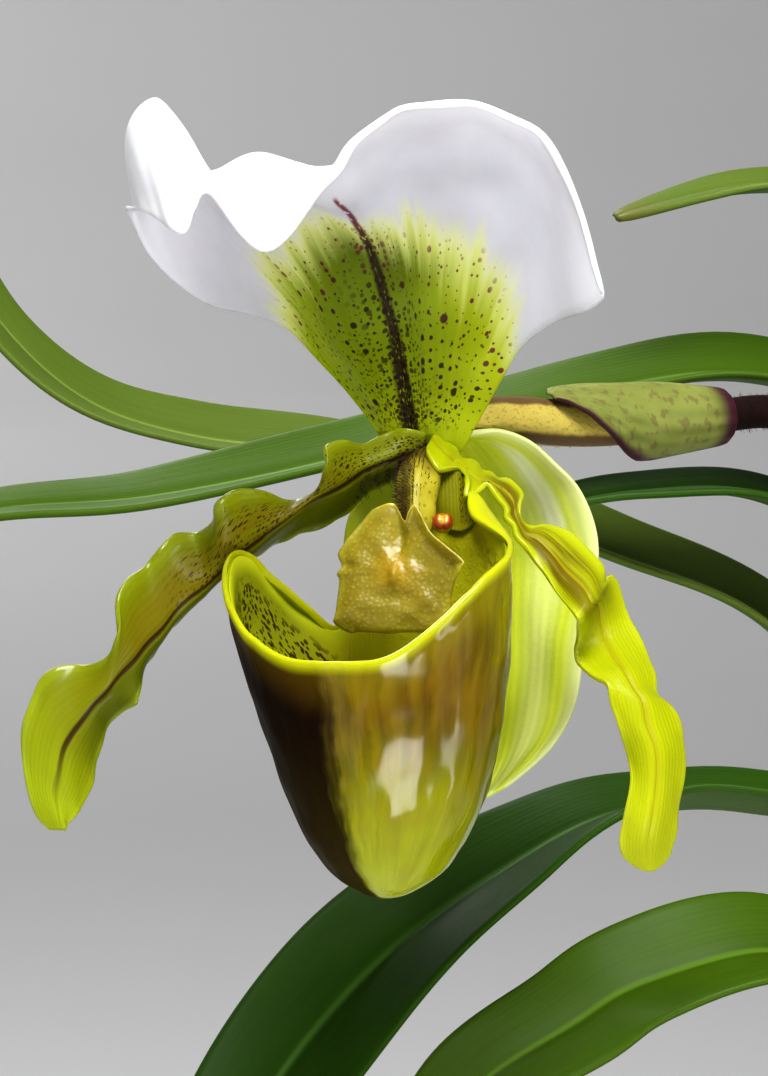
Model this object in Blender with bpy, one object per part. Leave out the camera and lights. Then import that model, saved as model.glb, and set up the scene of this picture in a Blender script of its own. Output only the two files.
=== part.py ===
# A slipper orchid growing in bark in a plain glazed vase: one open bloom on an arching scape above two fans
# of strap leaves. Metres, +Z up, the bloom seen from -Y. The vase stands on its foot at the origin.
# Points of the plant are in millimetres and MM turns them into metres.
import math
import random

import bmesh
import bpy
import numpy as np
from mathutils import Matrix, Vector

MM = 0.001

# Vase
VASE_HEIGHT = 150.0
FOOT_RADIUS = 43.0
BELLY_RADIUS = 61.0
BELLY_HEIGHT = 78.0
NECK_RADIUS = 48.0
LIP_RADIUS = 51.0
VASE_WALL = 4.0
VASE_FLOOR = 7.0
VASE_SIDES = 40

# Bark mix in the vase
MIX_DROP = 12.0
GAP = 0.3
HOLE_DEPTH = 16.0
CHIP_COUNT = 30
CHIP_SIZE = 11.0
CHIP_THICK = 5.2
CHIP_REACH = 37.0
CHIP_TURN = 2.39996
SLOT_DEPTH = 40.0
SLOT_ROUND = 3.6

# Where the sepals and petals meet, seen from the vase's axis, and the tilt of the bloom's own frame
BLOOM_HEART = (-98.0, -31.0, 306.0)
BLOOM_TILT = math.radians(-8)

# Thickness of the soft pieces
PETAL_THICK = 0.7
SEPAL_THICK = 0.8
POUCH_THICK = 1.0
LEAF_THICK = 1.2
SCAPE_RADIUS = 2.4
SCAPE_SWELL = 0.4
OVARY_RADIUS = 3.0

# Points of the bloom in its own frame: x to the right, y away from the front, z up, heart at zero
LEFT_PETAL = {
    "upper": [(-1.8, -0.5, 1), (-9, 0, -0.5), (-13.5, 0, -1.5), (-17, -6, -8), (-24, -1, -6), (-28, -7, -10),
              (-32.5, -3, -12), (-38.5, -3, -17.5), (-40.5, -6, -23), (-40.5, -11, -27.5), (-49, -6, -31),
              (-53, -6, -38), (-52, -8, -43.5), (-50, -9, -48), (-48.2, -9.3, -50)],
    "midrib": [(-2.1, -0.8, -1.4), (-8, -1, -4), (-13, -2, -6), (-17.5, -3, -9.5), (-22, -4, -12.5),
               (-26.5, -5, -16), (-30, -6, -19.5), (-34, -7, -24), (-38, -8, -27.5), (-41.5, -8, -31.5),
               (-45, -8, -35.5), (-47, -8, -39), (-48, -9, -43.5), (-47.5, -10, -47.5), (-47.5, -10, -50.3)],
    "lower": [(-2.8, -0.5, -3.6), (-8.5, 1.5, -8), (-12, 2, -10), (-17, 2, -12), (-22, 1, -14.5),
              (-26, 0, -17.5), (-29.5, 0, -21), (-33.5, -1, -25), (-37, -3, -29), (-37.5, -8, -33.5),
              (-41, -5, -37), (-43, -5, -40.5), (-43.5, -7, -44.5), (-45.5, -9, -48), (-46.6, -9.8, -50)],
}
RIGHT_PETAL = {
    "outer": [(2.1, -0.6, 1), (3.4, 0.1, -0.6), (4.5, 1.2, -2), (6.5, 1, -3.5), (8.5, 0, -5), (11, -1, -6),
              (13.5, -3, -9), (17.5, -6, -11.5), (21, -10, -15.5), (22.5, -12, -18), (23.5, -10, -18.8),
              (24.5, -9, -20.5), (26, -12, -25), (28, -16, -30), (29, -18, -33), (31.5, -19, -37.5),
              (31.5, -20, -42), (31, -21, -47), (30, -21, -51.5), (28.3, -21, -53.6)],
    "midrib": [(1.2, -1.4, -0.3), (2.4, -2, -2), (4, -2, -3.5), (5.5, -3, -5.5), (8, -4, -6),
               (10.5, -6, -8), (12.5, -8, -11), (16, -11, -14.5), (19.5, -15, -18.5), (20.6, -16.4, -20.6),
               (21.2, -14.6, -21.8), (21.5, -13, -24), (23.5, -16, -27.5), (25, -19, -30.5),
               (26, -21, -33.5), (27, -23, -37.5), (27.5, -24, -42.5), (27, -25, -47.5), (26.5, -24, -51),
               (26.5, -22, -54)],
    "inner": [(0.4, -2.6, -1.4), (1.5, -5, -3.5), (3.5, -4.4, -4.4), (4.5, -8, -7), (7, -6.5, -7),
              (10, -11, -11), (12, -10, -13.5), (15, -12, -17.5), (16.5, -16, -21), (18, -18.5, -23.2),
              (18.4, -16.5, -25), (18, -15, -27.5), (19, -18, -29.5), (21.5, -21, -30.5),
              (22, -22, -33.5), (23, -22, -38), (24, -23, -42.5), (23, -24, -48), (23.5, -23, -51),
              (24.8, -22, -53.3)],
}
SYNSEPAL = {
    "left": [(-2, 3.0, -0.9), (-7.5, 9, -5), (-11, 11, -9.5), (-11.5, 10.5, -17), (-11, 8, -26.5),
             (-8.5, 5, -36), (-2.5, 1, -44.5), (3, -1, -47)],
    "middle": [(1, 4.5, -1.5), (3, 16, -6), (5, 20, -13), (5.5, 18, -21), (5.5, 13, -30.5), (5.5, 7, -39),
               (5.3, 2, -45), (5.3, -0.6, -47.6)],
    "right": [(4, 3.4, -0.7), (13, 8, 0), (20, 10, -6), (22, 8, -14), (21.5, 5, -23.5), (19.5, 2, -32.5),
              (15, 0, -41.5), (7.6, -1, -47)],
}
DORSAL_SEPAL = [
    [(-6.5, 2, 1.4), (-8.5, 0.8, 3.4), (-13.5, -4, 9), (-20, -9, 15.5), (-28.5, -14, 17), (-35, -18, 22),
     (-38, -22, 28.5)],
    [(-6, 2, 1.4), (-7.8, 0.4, 3.9), (-13.2, -5, 10.4), (-20.5, -11, 17), (-30, -17, 23.5), (-37, -23, 34.5),
     (-34.5, -33, 25.5)],
    [(-5, 2, 1.4), (-7, -0.5, 4.2), (-12.5, -7.5, 11.5), (-21.5, -14, 19), (-31.5, -20, 29.5),
     (-34, -26, 41.5), (-30, -40, 22.5)],
    [(-3.5, 2, 1.3), (-5, -1.4, 4.7), (-9.5, -8.6, 12), (-18, -16, 21), (-24.5, -23, 28.5),
     (-27.5, -28, 32), (-27, -36, 28.5)],
    [(-2.4, 2, 1.3), (-3.5, -1.6, 5.2), (-7, -9.6, 13), (-12.5, -18, 24), (-17.5, -25, 31.5),
     (-20, -31, 33.5), (-20.5, -42, 20.5)],
    [(-1, 2, 1.2), (-2, -1.2, 5.2), (-4, -8.6, 14), (-7, -16, 23), (-10.5, -22, 28), (-13, -27, 31.5),
     (-14, -34, 27.5)],
    [(0.5, 2, 1.2), (-0.5, -1.2, 5.2), (-1, -7.6, 14.5), (-2.5, -14, 25), (-4.5, -19, 33),
     (-6, -22, 38.2), (-6.5, -24.4, 38.5)],
    [(2, 2.2, 1.1), (2, -0.6, 5.2), (2.5, -6.6, 14.5), (3.5, -12, 25), (5.5, -16, 34), (7, -18, 39.6),
     (7, -20.4, 40.5)],
    [(3, 2.4, 1), (4, 0.4, 5.1), (6, -3.6, 13.5), (9.5, -8, 22), (13.5, -11, 29.5), (16.5, -13, 34),
     (16.5, -16, 32.5)],
    [(4.2, 2.6, 0.9), (7, 1.2, 3.8), (9.5, -1.6, 7.4), (12, -4, 12), (17, -7, 15.5), (20.5, -9, 16.5),
     (22, -10, 17.5)],
]

# Pouch: (height, centre x, centre y, half width, half depth), from the toe up
POUCH_LEVELS = [
    (-57.2, -5.6, -19.5, 0.6, 0.8), (-56.4, -5.6, -19.4, 2.8, 3.0), (-54.8, -5.6, -19.2, 5.3, 6.0),
    (-51.0, -5.6, -19.0, 8.7, 9.6), (-45.0, -5.7, -18.6, 11.9, 12.0), (-38.0, -6.1, -18.0, 14.2, 13.4),
    (-30.0, -6.9, -17.2, 16.4, 14.0), (-22.0, -7.8, -16.4, 18.0, 13.9), (-15.0, -8.1, -16.2, 18.0, 13.0),
    (-8.0, -7.6, -15.0, 16.6, 12.4), (0.0, -6.0, -14.0, 14.0, 12.0),
]
POUCH_SIDES = 36
POUCH_ROWS = 13
POUCH_TURN = math.radians(-24.8)
CLAW_LEAN = 3.2
# Pouch rim: (angle from the front towards the right ear, height)
POUCH_RIM = [
    (0, -28.3), (28, -27.4), (50, -22.8), (72, -17.8), (95, -15.2), (118, -12.6), (138, -10.0), (148, -7.6),
    (158, -8.8), (172, -7.8), (186, -7.6), (197, -11.0), (204, -18.0), (212, -24.6), (230, -22.4),
    (246, -18.6), (258, -15.4), (268, -14.8), (282, -16.6), (300, -20.6), (322, -25.2), (342, -27.8),
    (360, -28.3),
]

# Staminode: its middle, how far the boss stands forward and the edge bends back, and its outline
STAMINODE_CENTRE = (-4.4, -13.6, -17.4)
STAMINODE_BOSS = 1.5
STAMINODE_CUP = 1.6
STAMINODE_THICK = 1.2
STAMINODE_EDGE = [(-0.6, 8.9), (-2.1, 8.9), (-3.6, 7.4), (-5.6, 5.4), (-7.6, 2.9), (-8.1, 1.4), (-7.6, -0.6),
                  (-7.1, -1.6), (-8.1, -4.1), (-7.6, -6.1), (-5.6, -7.6), (-2.1, -7.6), (0.4, -7.1),
                  (3.4, -7.6), (5.4, -6.1), (7.4, -4.6), (7.9, -2.1), (8.4, 1.4), (4.9, 3.9), (2.9, 6.4),
                  (1.6, 8.4), (0.4, 7.6)]

# Bract: the line that it wraps, its radius and swell, the half angle that it covers and the turn of its back
BRACT_PATH = [(15.5, 20.6, 3.1), (25, 31, 3.0), (33, 37, 3.9), (41.8, 43.6, 4.6)]
BRACT_THICK = 0.6
BRACT_RADIUS = 3.9
BRACT_SWELL = 1.6
BRACT_SPREAD = (14, 166)
BRACT_TURN = math.radians(25)
OVARY_PATH = [(3.2, 5.0, 2.6), (7, 10, 2.9), (12.5, 17, 3.0), (18, 24, 2.8), (25.5, 31, 3), (33, 37, 4),
              (41, 43, 4.5)]
SCAPE_PATH = [(41, 43, 4.5), (49.5, 49, 5.5), (62, 51, 4), (78, 50, -2), (89, 48, -14), (94, 46, -34),
              (96, 46, -64), (97, 48, -104)]
SCAPE_FOOT = (0.0, -2.6)
SCAPE_ROOM = 0.7

# Column: (point, half width) from the heart to the back of the staminode
COLUMN = [((1.2, 2.8, -0.6), 1.5), ((0.8, 0.8, -1.7), 1.7), ((0.0, -2.0, -3.7), 1.9),
          ((-0.5, -4.6, -5.8), 1.9), ((-1.1, -6.6, -8.2), 2.0), ((-1.5, -7.4, -10.8), 2.3),
          ((-2.2, -7.8, -13.2), 1.6)]
ANTHERS = [(1.5, -8.6, -10.8), (-4.5, -8.0, -11.2)]
ANTHER_RADIUS = 1.4

# Fans of leaves: (x, y) of the middle and the direction of the row, in the vase's own frame
FANS = {"front": ((-8.0, -11.0), -14.0), "back": ((12.0, 14.0), 12.0)}
SLOT_SIZE = {"front": (22.0, 11.0, 0.0), "back": (29.0, 11.0, -3.4)}

# Leaves: fan, place in its row, width, points in the bloom's frame or the vase's, and the ways that the upper
# face turns from foot to tip
LEAVES = [
    {"fan": "back", "place": -14.2, "width": 23, "frame": "bloom", "face": [(0.3, -0.2, 1), (0, -0.3, 1)],
     "points": [(90, 80, -106), (77, 90, -62), (56, 94, -28), (28, 98, -15), (-8, 104, -1), (-36, 105, 3),
                (-54, 104, 9), (-68, 102, 22), (-76, 100, 38)]},
    {"fan": "back", "place": -7.4, "width": 23, "frame": "bloom", "face": [(0.2, -0.2, 1), (0, -0.2, 1)],
     "points": [(103, 74, -92), (98, 80, -42), (80, 78, -2), (52, 74, 11), (26, 74, 9), (-12, 76, -1),
                (-42, 74, -7), (-66, 72, -9), (-88, 68, -16)]},
    {"fan": "back", "place": -10.8, "width": 20, "frame": "bloom", "face": [(0.3, 0, 1), (0, -0.15, 1)],
     "points": [(97, 76, -96), (89, 82, -54), (75, 84, -22), (53, 80, -7), (32, 76, -6), (12, 72, -10)]},
    {"fan": "front", "place": -5.0, "width": 25, "frame": "bloom",
     "face": [(0.6, 0, 1), (0, 0, 1), (0, 0.12, 1), (0, -0.4, 1), (-0.2, -1, 0.5), (-0.4, -1, 0.2)],
     "points": [(89, 50, -120), (81, 48, -86), (70, 46, -61), (60, 45, -54), (49, 44, -52), (38, 44, -51),
                (25, 42, -53), (13, 40, -59), (-0.5, 36, -67.5), (-12.5, 31, -78), (-23, 24, -91),
                (-32, 15, -108), (-40, 4, -129)]},
    {"fan": "front", "place": -8.4, "width": 22, "frame": "bloom",
     "face": [(0.6, 0, 1), (0, -0.3, 1), (0, -0.5, 0.9), (0, -0.7, 0.8)],
     "points": [(77, 42, -124), (66, 36, -94), (57, 30, -76), (47, 26, -70), (29, 22, -74), (20, 20, -79),
                (5.5, 16, -88), (-6, 10, -103)]},
    {"fan": "back", "place": -4.0, "width": 22, "frame": "bloom", "face": [(0.3, 0, 1), (0, -0.15, 1)],
     "points": [(109, 76, -90), (113, 80, -30), (106, 79, 8), (88, 76, 30), (70, 73, 38.5), (51.5, 71, 40),
                (41, 69, 38.5), (28.5, 67, 35)]},
    {"fan": "back", "place": 4.0, "width": 24, "frame": "vase", "face": [(0, 0, 1), (0, 0, 1)],
     "points": [(22, 20, 190), (38, 27, 245), (66, 36, 278), (100, 45, 284), (128, 52, 268),
                (146, 56, 244)]},
    {"fan": "front", "place": 5.0, "width": 25, "frame": "vase", "face": [(0, 0, 1), (0, 0, 1)],
     "points": [(4, -17, 184), (18, -33, 226), (46, -56, 248), (78, -78, 242), (102, -94, 218),
                (114, -102, 192)]},
    {"fan": "front", "place": 8.4, "width": 22, "frame": "vase", "face": [(0, 0, 1), (0, 0, 1)],
     "points": [(10, -16, 176), (36, -16, 204), (68, -14, 216), (100, -11, 208), (124, -8, 186)]},
    {"fan": "back", "place": 7.4, "width": 24, "frame": "vase", "face": [(0, 0, 1), (0, 0, 1)],
     "points": [(26, 23, 180), (44, 42, 220), (62, 72, 244), (78, 104, 244), (90, 130, 224),
                (96, 146, 200)]},
]
LEAF_FOOT_WIDTH = 9.0
LEAF_ROWS = 20
LEAF_WIDENS = (0.08, 0.42)
LEAF_ROUNDS = 0.62
LEAF_FOLDS = [(0, 45), (0.15, 42), (0.4, 20), (1, 12)]


def clear_scene():
    for item in list(bpy.data.objects):
        bpy.data.objects.remove(item, do_unlink=True)


def material(name, colour, roughness, metallic=0.0):
    made = bpy.data.materials.new(name)
    made.use_nodes = True
    shader = made.node_tree.nodes["Principled BSDF"]
    shader.inputs["Base Color"].default_value = (*colour, 1.0)
    shader.inputs["Roughness"].default_value = roughness
    shader.inputs["Metallic"].default_value = metallic
    made.diffuse_color = (*colour, 1.0)
    return made


def empty(name, location, rotation=(0, 0, 0)):
    made = bpy.data.objects.new(name, None)
    made.location = Vector(location) * MM
    made.rotation_euler = rotation
    bpy.context.scene.collection.objects.link(made)
    return made


def through(points, count):
    # A smooth line through the points, with even steps from one to the next; works on rows of points too
    points = np.asarray(points, float)
    padded = np.concatenate([[2 * points[0] - points[1]], points, [2 * points[-1] - points[-2]]])
    where = np.linspace(0, len(points) - 1, count)
    first = np.minimum(where.astype(int), len(points) - 2)
    t = (where - first).reshape((-1,) + (1,) * (points.ndim - 1))
    a, b, c, d = (padded[first + step] for step in range(4))
    return 0.5 * (2 * b + (c - a) * t + (2 * a - 5 * b + 4 * c - d) * t**2 + (3 * b - 3 * c + d - a) * t**3)


def even(points, count):
    # The same line with points an even distance apart
    fine = through(points, 200)
    run = np.concatenate([[0], np.cumsum(np.linalg.norm(np.diff(fine, axis=0), axis=1))])
    wanted = np.linspace(0, run[-1], count)
    return np.stack([np.interp(wanted, run, fine[:, axis]) for axis in range(3)], axis=1)


def directions(line):
    step = np.gradient(line, axis=0)
    return step / np.linalg.norm(step, axis=1, keepdims=True)


def add_mesh(name, points, faces, look, parent, smooth=True):
    mesh = bpy.data.meshes.new(name)
    mesh.from_pydata([tuple(point) for point in np.asarray(points, float) * MM], [], faces)
    mesh.update()
    made = bpy.data.objects.new(name, mesh)
    made.data.materials.append(look)
    made.parent = parent
    bpy.context.scene.collection.objects.link(made)
    mesh.polygons.foreach_set("use_smooth", [smooth] * len(mesh.polygons))
    return made


def thicken(item, thickness, offset=0.0):
    solid = item.modifiers.new("Thickness", "SOLIDIFY")
    solid.thickness = thickness * MM
    solid.offset = offset
    solid.use_even_offset = False
    solid.use_quality_normals = True
    return item


def grid_faces(rows, columns, around=False):
    # Triangles between neighbouring rows of points, alike on both faces once the sheet is thickened
    faces = []
    for row in range(rows - 1):
        for column in range(columns if around else columns - 1):
            beside = (column + 1) % columns
            a = row * columns + column
            b = row * columns + beside
            c = (row + 1) * columns + beside
            d = (row + 1) * columns + column
            faces += [(a, b, c), (a, c, d)]
    return faces


def sheet(name, grid, thickness, look, parent):
    rows, columns = grid.shape[:2]
    item = add_mesh(name, grid.reshape(-1, 3), grid_faces(rows, columns), look, parent)
    return thicken(item, thickness)


def tube(name, rings, look, parent):
    # A closed solid from rings of points, with flat ends
    rows, columns = rings.shape[:2]
    faces = grid_faces(rows, columns, around=True)
    faces += [tuple(reversed(range(columns))), tuple(range((rows - 1) * columns, rows * columns))]
    item = add_mesh(name, rings.reshape(-1, 3), faces, look, parent)
    turn_out(item)
    return item


def turn_out(item):
    work = bmesh.new()
    work.from_mesh(item.data)
    bmesh.ops.recalc_face_normals(work, faces=work.faces)
    if work.calc_volume(signed=True) < 0:
        bmesh.ops.reverse_faces(work, faces=work.faces)
    work.to_mesh(item.data)
    work.free()


def rings_along(line, radii, sides, ribs=1, rib_height=0.0):
    # Circles across the line; ribs lift the radius in even waves round it
    way = directions(line)
    across = np.array([0.0, 0.0, 1.0])
    rings = []
    for point, tangent, radius in zip(line, way, radii):
        across = across - tangent * across.dot(tangent)
        across /= np.linalg.norm(across)
        beside = np.cross(tangent, across)
        turn = np.arange(sides) * 2 * math.pi / sides
        reach = (radius * (1 + rib_height * np.cos(ribs * turn)))[:, None]
        rings.append(point + reach * (np.cos(turn)[:, None] * across + np.sin(turn)[:, None] * beside))
    return np.array(rings)


def seen(point):
    # From the bloom's frame to the vase's
    return np.array(Matrix.Rotation(BLOOM_TILT, 3, "X") @ Vector(point)) + np.array(BLOOM_HEART)


def petal(name, rails, rows, columns, look, parent):
    lines = np.array([through(rail, rows) for rail in rails.values()])
    return sheet(name, through(lines, columns).swapaxes(0, 1), PETAL_THICK, look, parent)


def add_bloom(parent):
    yellow = material("petal_tissue", (0.42, 0.46, 0.05), 0.4)
    pale = material("synsepal_tissue", (0.45, 0.55, 0.10), 0.45)
    white = material("dorsal_sepal_tissue", (0.72, 0.74, 0.66), 0.5)
    petal("petal_left", LEFT_PETAL, 36, 5, yellow, parent)
    petal("petal_right", RIGHT_PETAL, 40, 5, yellow, parent)
    rails = np.array([through(rail, 16) for rail in SYNSEPAL.values()])
    sheet("synsepal", through(rails, 9).swapaxes(0, 1), SEPAL_THICK, pale, parent)
    net = through(through(np.array(DORSAL_SEPAL, float), 19).swapaxes(0, 1), 17)
    sheet("dorsal_sepal", net, SEPAL_THICK, white, parent)
    add_pouch(parent)
    add_staminode(parent)
    add_column(parent)


def pouch_point(turn, share):
    # A point of the pouch's wall: turn round it from the front, share of the way from toe to rim
    angles, heights = zip(*POUCH_RIM)
    levels = np.array(POUCH_LEVELS)
    rim = np.interp(math.degrees(turn) % 360, angles, heights)
    height = levels[0, 0] + (rim - levels[0, 0]) * share
    at_height = [np.interp(height, levels[:, 0], levels[:, axis]) for axis in range(1, 5)]
    x, y, half_width, half_depth = at_height
    forward = np.array([math.sin(POUCH_TURN), -math.cos(POUCH_TURN)])
    right = np.array([math.cos(POUCH_TURN), math.sin(POUCH_TURN)])
    place = np.array([x, y]) + half_depth * math.cos(turn) * forward + half_width * math.sin(turn) * right
    lean = CLAW_LEAN * max(0.0, -math.cos(turn)) * min(1.0, max(0.0, (height + 24) / 14))
    place -= lean * forward
    return (place[0], place[1], height)


def add_pouch(parent):
    look = material("pouch_tissue", (0.16, 0.12, 0.02), 0.2)
    sides, rows = POUCH_SIDES, POUCH_ROWS
    shares = [(row / (rows - 1)) ** 1.4 for row in range(rows)]
    turns = [2 * math.pi * side / sides for side in range(sides)]
    rings = np.array([[pouch_point(turn, share) for turn in turns] for share in shares])
    points = [rings[0].mean(axis=0)] + list(rings[1:].reshape(-1, 3))
    faces = [(0, 1 + (side + 1) % sides, 1 + side) for side in range(sides)]
    faces += [tuple(corner + 1 for corner in face) for face in grid_faces(rows - 1, sides, around=True)]
    item = add_mesh("pouch", points, faces, look, parent)
    thicken(item, POUCH_THICK)


def add_staminode(parent):
    look = material("staminode_tissue", (0.52, 0.45, 0.08), 0.35)
    edge = np.array(STAMINODE_EDGE)
    rings = 4
    points = [(0.0, -STAMINODE_BOSS, 0.0)]
    for ring in range(1, rings + 1):
        share = ring / rings
        for x, z in edge * share:
            boss = STAMINODE_BOSS * math.exp(-((2.2 * share) ** 2))
            points.append((x, STAMINODE_CUP * share**2 - boss, z))
    count = len(edge)
    faces = [(0, 1 + (step + 1) % count, 1 + step) for step in range(count)]
    faces += [tuple(corner + 1 for corner in face) for face in grid_faces(rings, count, around=True)]
    item = add_mesh("staminode", points, faces, look, parent)
    item.location = Vector(STAMINODE_CENTRE) * MM
    item.rotation_euler = (math.radians(-14), 0, math.radians(-16))
    thicken(item, STAMINODE_THICK)


def add_column(parent):
    look = material("column_tissue", (0.45, 0.42, 0.06), 0.45)
    places, widths = zip(*COLUMN)
    line = through(places, 11)
    item = tube("column", rings_along(line, through(np.array(widths)[:, None], 11)[:, 0], 12), look, parent)
    for number, place in enumerate(ANTHERS):
        bpy.ops.mesh.primitive_uv_sphere_add(segments=12, ring_count=8, radius=ANTHER_RADIUS * MM)
        knob = bpy.context.object
        knob.name = f"anther_shape_{number}"
        knob.parent = parent
        knob.location = Vector(place) * MM
        helper(knob)
        join(item, knob, "UNION")


def helper(item):
    item.hide_render = True
    item.display_type = "WIRE"


def join(item, other, operation):
    made = item.modifiers.new(f"{operation.title()} {other.name}", "BOOLEAN")
    made.operation = operation
    made.solver = "EXACT"
    made.object = other
    return made


def add_stalk(parent, plant):
    brown = material("ovary_tissue", (0.22, 0.12, 0.05), 0.6)
    dark = material("scape_tissue", (0.10, 0.03, 0.03), 0.7)
    green = material("bract_tissue", (0.28, 0.36, 0.12), 0.5)
    line = even(OVARY_PATH, 14)
    swell = OVARY_RADIUS * (0.86 + 0.22 * np.sin(np.linspace(0.25, math.pi, 14)))
    tube("ovary", rings_along(line, swell, 18, ribs=3, rib_height=0.07), brown, parent)
    way = (line[-1] - line[-2]) / np.linalg.norm(line[-1] - line[-2])
    foot = np.array([*SCAPE_FOOT, VASE_HEIGHT - MIX_DROP - HOLE_DEPTH + GAP])
    path = [seen(np.array(OVARY_PATH[-1]) + way * GAP)] + [seen(point) for point in SCAPE_PATH[1:]]
    path += [foot + (0, 0, HOLE_DEPTH), foot]
    run = even(path, 30)
    thicker = np.linspace(SCAPE_RADIUS, SCAPE_RADIUS + SCAPE_SWELL, 30)
    tube("scape", rings_along(run, thicker, 10), dark, plant)
    add_bract(green, parent)


def add_bract(look, parent):
    # A folded sheath round the foot of the ovary, open below, with its tip towards the bloom
    rows, columns = 14, 9
    line = even(BRACT_PATH, rows)
    least, most = BRACT_SPREAD
    way = directions(line)
    grid = []
    for row, (point, tangent) in enumerate(zip(line, way)):
        share = row / (rows - 1)
        up = np.array([0.0, 0.0, 1.0])
        up = up - tangent * up.dot(tangent)
        up /= np.linalg.norm(up)
        beside = np.cross(tangent, up)
        reach = BRACT_RADIUS + BRACT_SWELL * math.sin(math.pi * share**0.8)
        spread = math.radians(least + (most - least) * min(1, share * 1.5) ** 0.8)
        for turn in BRACT_TURN + np.linspace(-spread, spread, columns):
            grid.append(point + reach * (math.cos(turn) * up + math.sin(turn) * beside))
    sheet("bract", np.array(grid).reshape(rows, columns, 3), BRACT_THICK, look, parent)


def add_leaf(number, leaf, look, parent):
    (x, y), turn = FANS[leaf["fan"]]
    row = Matrix.Rotation(math.radians(turn), 3, "Z") @ Vector((leaf["place"], 0, 0))
    base = VASE_HEIGHT - MIX_DROP
    foot = np.array([x + row.x, y + row.y, base - HOLE_DEPTH + 2 * GAP])
    inward = -np.array(row) / abs(leaf["place"])
    points = [np.array(point, float) for point in leaf["points"]]
    if leaf["frame"] == "bloom":
        points = [seen(point) for point in points]
    path = [foot, foot + (0, 0, HOLE_DEPTH + 4)] + points
    line = even(path, LEAF_ROWS)
    way = directions(line)
    way[0] = (0, 0, 1)
    faces = np.array([inward, inward + (0, 0, 0.2)] + [np.array(face, float) for face in leaf["face"]])
    stops = [0] + list(np.linspace(0.14, 1, len(faces) - 1))
    share = np.linspace(0, 1, LEAF_ROWS)
    hint = np.stack([np.interp(share, stops, faces[:, axis]) for axis in range(3)], axis=1)
    grid = []
    for place, tangent, up, part in zip(line, way, hint, share):
        up = up - tangent * up.dot(tangent)
        up /= np.linalg.norm(up)
        beside = np.cross(tangent, up)
        wide = LEAF_FOOT_WIDTH + (leaf["width"] - LEAF_FOOT_WIDTH) * np.interp(part, LEAF_WIDENS, (0, 1))
        past = max(0.0, (part - LEAF_ROUNDS) / (1.005 - LEAF_ROUNDS))
        half = wide / 2 * math.sqrt(max(0.0, 1 - past**2))
        fold = math.radians(np.interp(part, *zip(*LEAF_FOLDS)))
        for side in np.linspace(-1, 1, 5):
            grid.append(place + half * (side * math.cos(fold) * beside + abs(side) * math.sin(fold) * up))
    sheet(f"leaf_{number:02d}", np.array(grid).reshape(LEAF_ROWS, 5, 3), LEAF_THICK, look, parent)


def spin(name, profile, look, parent):
    # The profile, given as (radius, height), turned about the vase's axis
    mesh = bpy.data.meshes.new(name)
    points = [(radius * MM, 0, height * MM) for radius, height in profile]
    mesh.from_pydata(points, [(step, step + 1) for step in range(len(points) - 1)], [])
    made = bpy.data.objects.new(name, mesh)
    made.data.materials.append(look)
    made.parent = parent
    bpy.context.scene.collection.objects.link(made)
    screw = made.modifiers.new("Turn", "SCREW")
    screw.steps = VASE_SIDES
    screw.render_steps = VASE_SIDES
    screw.use_merge_vertices = True
    screw.merge_threshold = 0.00002
    screw.use_smooth_shade = True
    screw.use_normal_calculate = True
    return made


def vase_wall():
    corners = [(FOOT_RADIUS, 1.6), (FOOT_RADIUS + 11.4, 30), (BELLY_RADIUS, BELLY_HEIGHT),
               (NECK_RADIUS + 2.4, 124), (LIP_RADIUS - 0.4, 146)]
    return [tuple(point) for point in through(corners, 10)]


def inner_wall():
    return [(radius - VASE_WALL, height) for radius, height in vase_wall()[2:]]


def add_vase(parent):
    look = material("vase_glaze", (0.62, 0.60, 0.55), 0.25)
    outer = [(0, 0), (FOOT_RADIUS - 1.4, 0)] + vase_wall() + [(LIP_RADIUS, VASE_HEIGHT - 1.4)]
    lip = [(LIP_RADIUS - 0.8, VASE_HEIGHT - 0.2), (LIP_RADIUS - 2.6, VASE_HEIGHT)]
    inner = [(LIP_RADIUS - VASE_WALL, VASE_HEIGHT - 2)] + inner_wall()[::-1]
    inner += [(FOOT_RADIUS - 2, VASE_FLOOR + 3), (FOOT_RADIUS - 6, VASE_FLOOR), (0, VASE_FLOOR)]
    return spin("vase", outer + lip + inner, look, parent)


def mix_profile():
    # Follows the inside of the vase at the small gap, up to the top of the mix
    top = VASE_HEIGHT - MIX_DROP
    wall = [(radius - GAP, height) for radius, height in inner_wall() if height < top]
    radii, heights = zip(*inner_wall())
    edge = float(np.interp(top, heights, radii)) - GAP
    floor = VASE_FLOOR + GAP
    start = [(0, floor), (FOOT_RADIUS - 6.1, floor), (FOOT_RADIUS - 2.3, VASE_FLOOR + 3.2)]
    return start + wall + [(edge, top), (0, top)]


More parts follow.
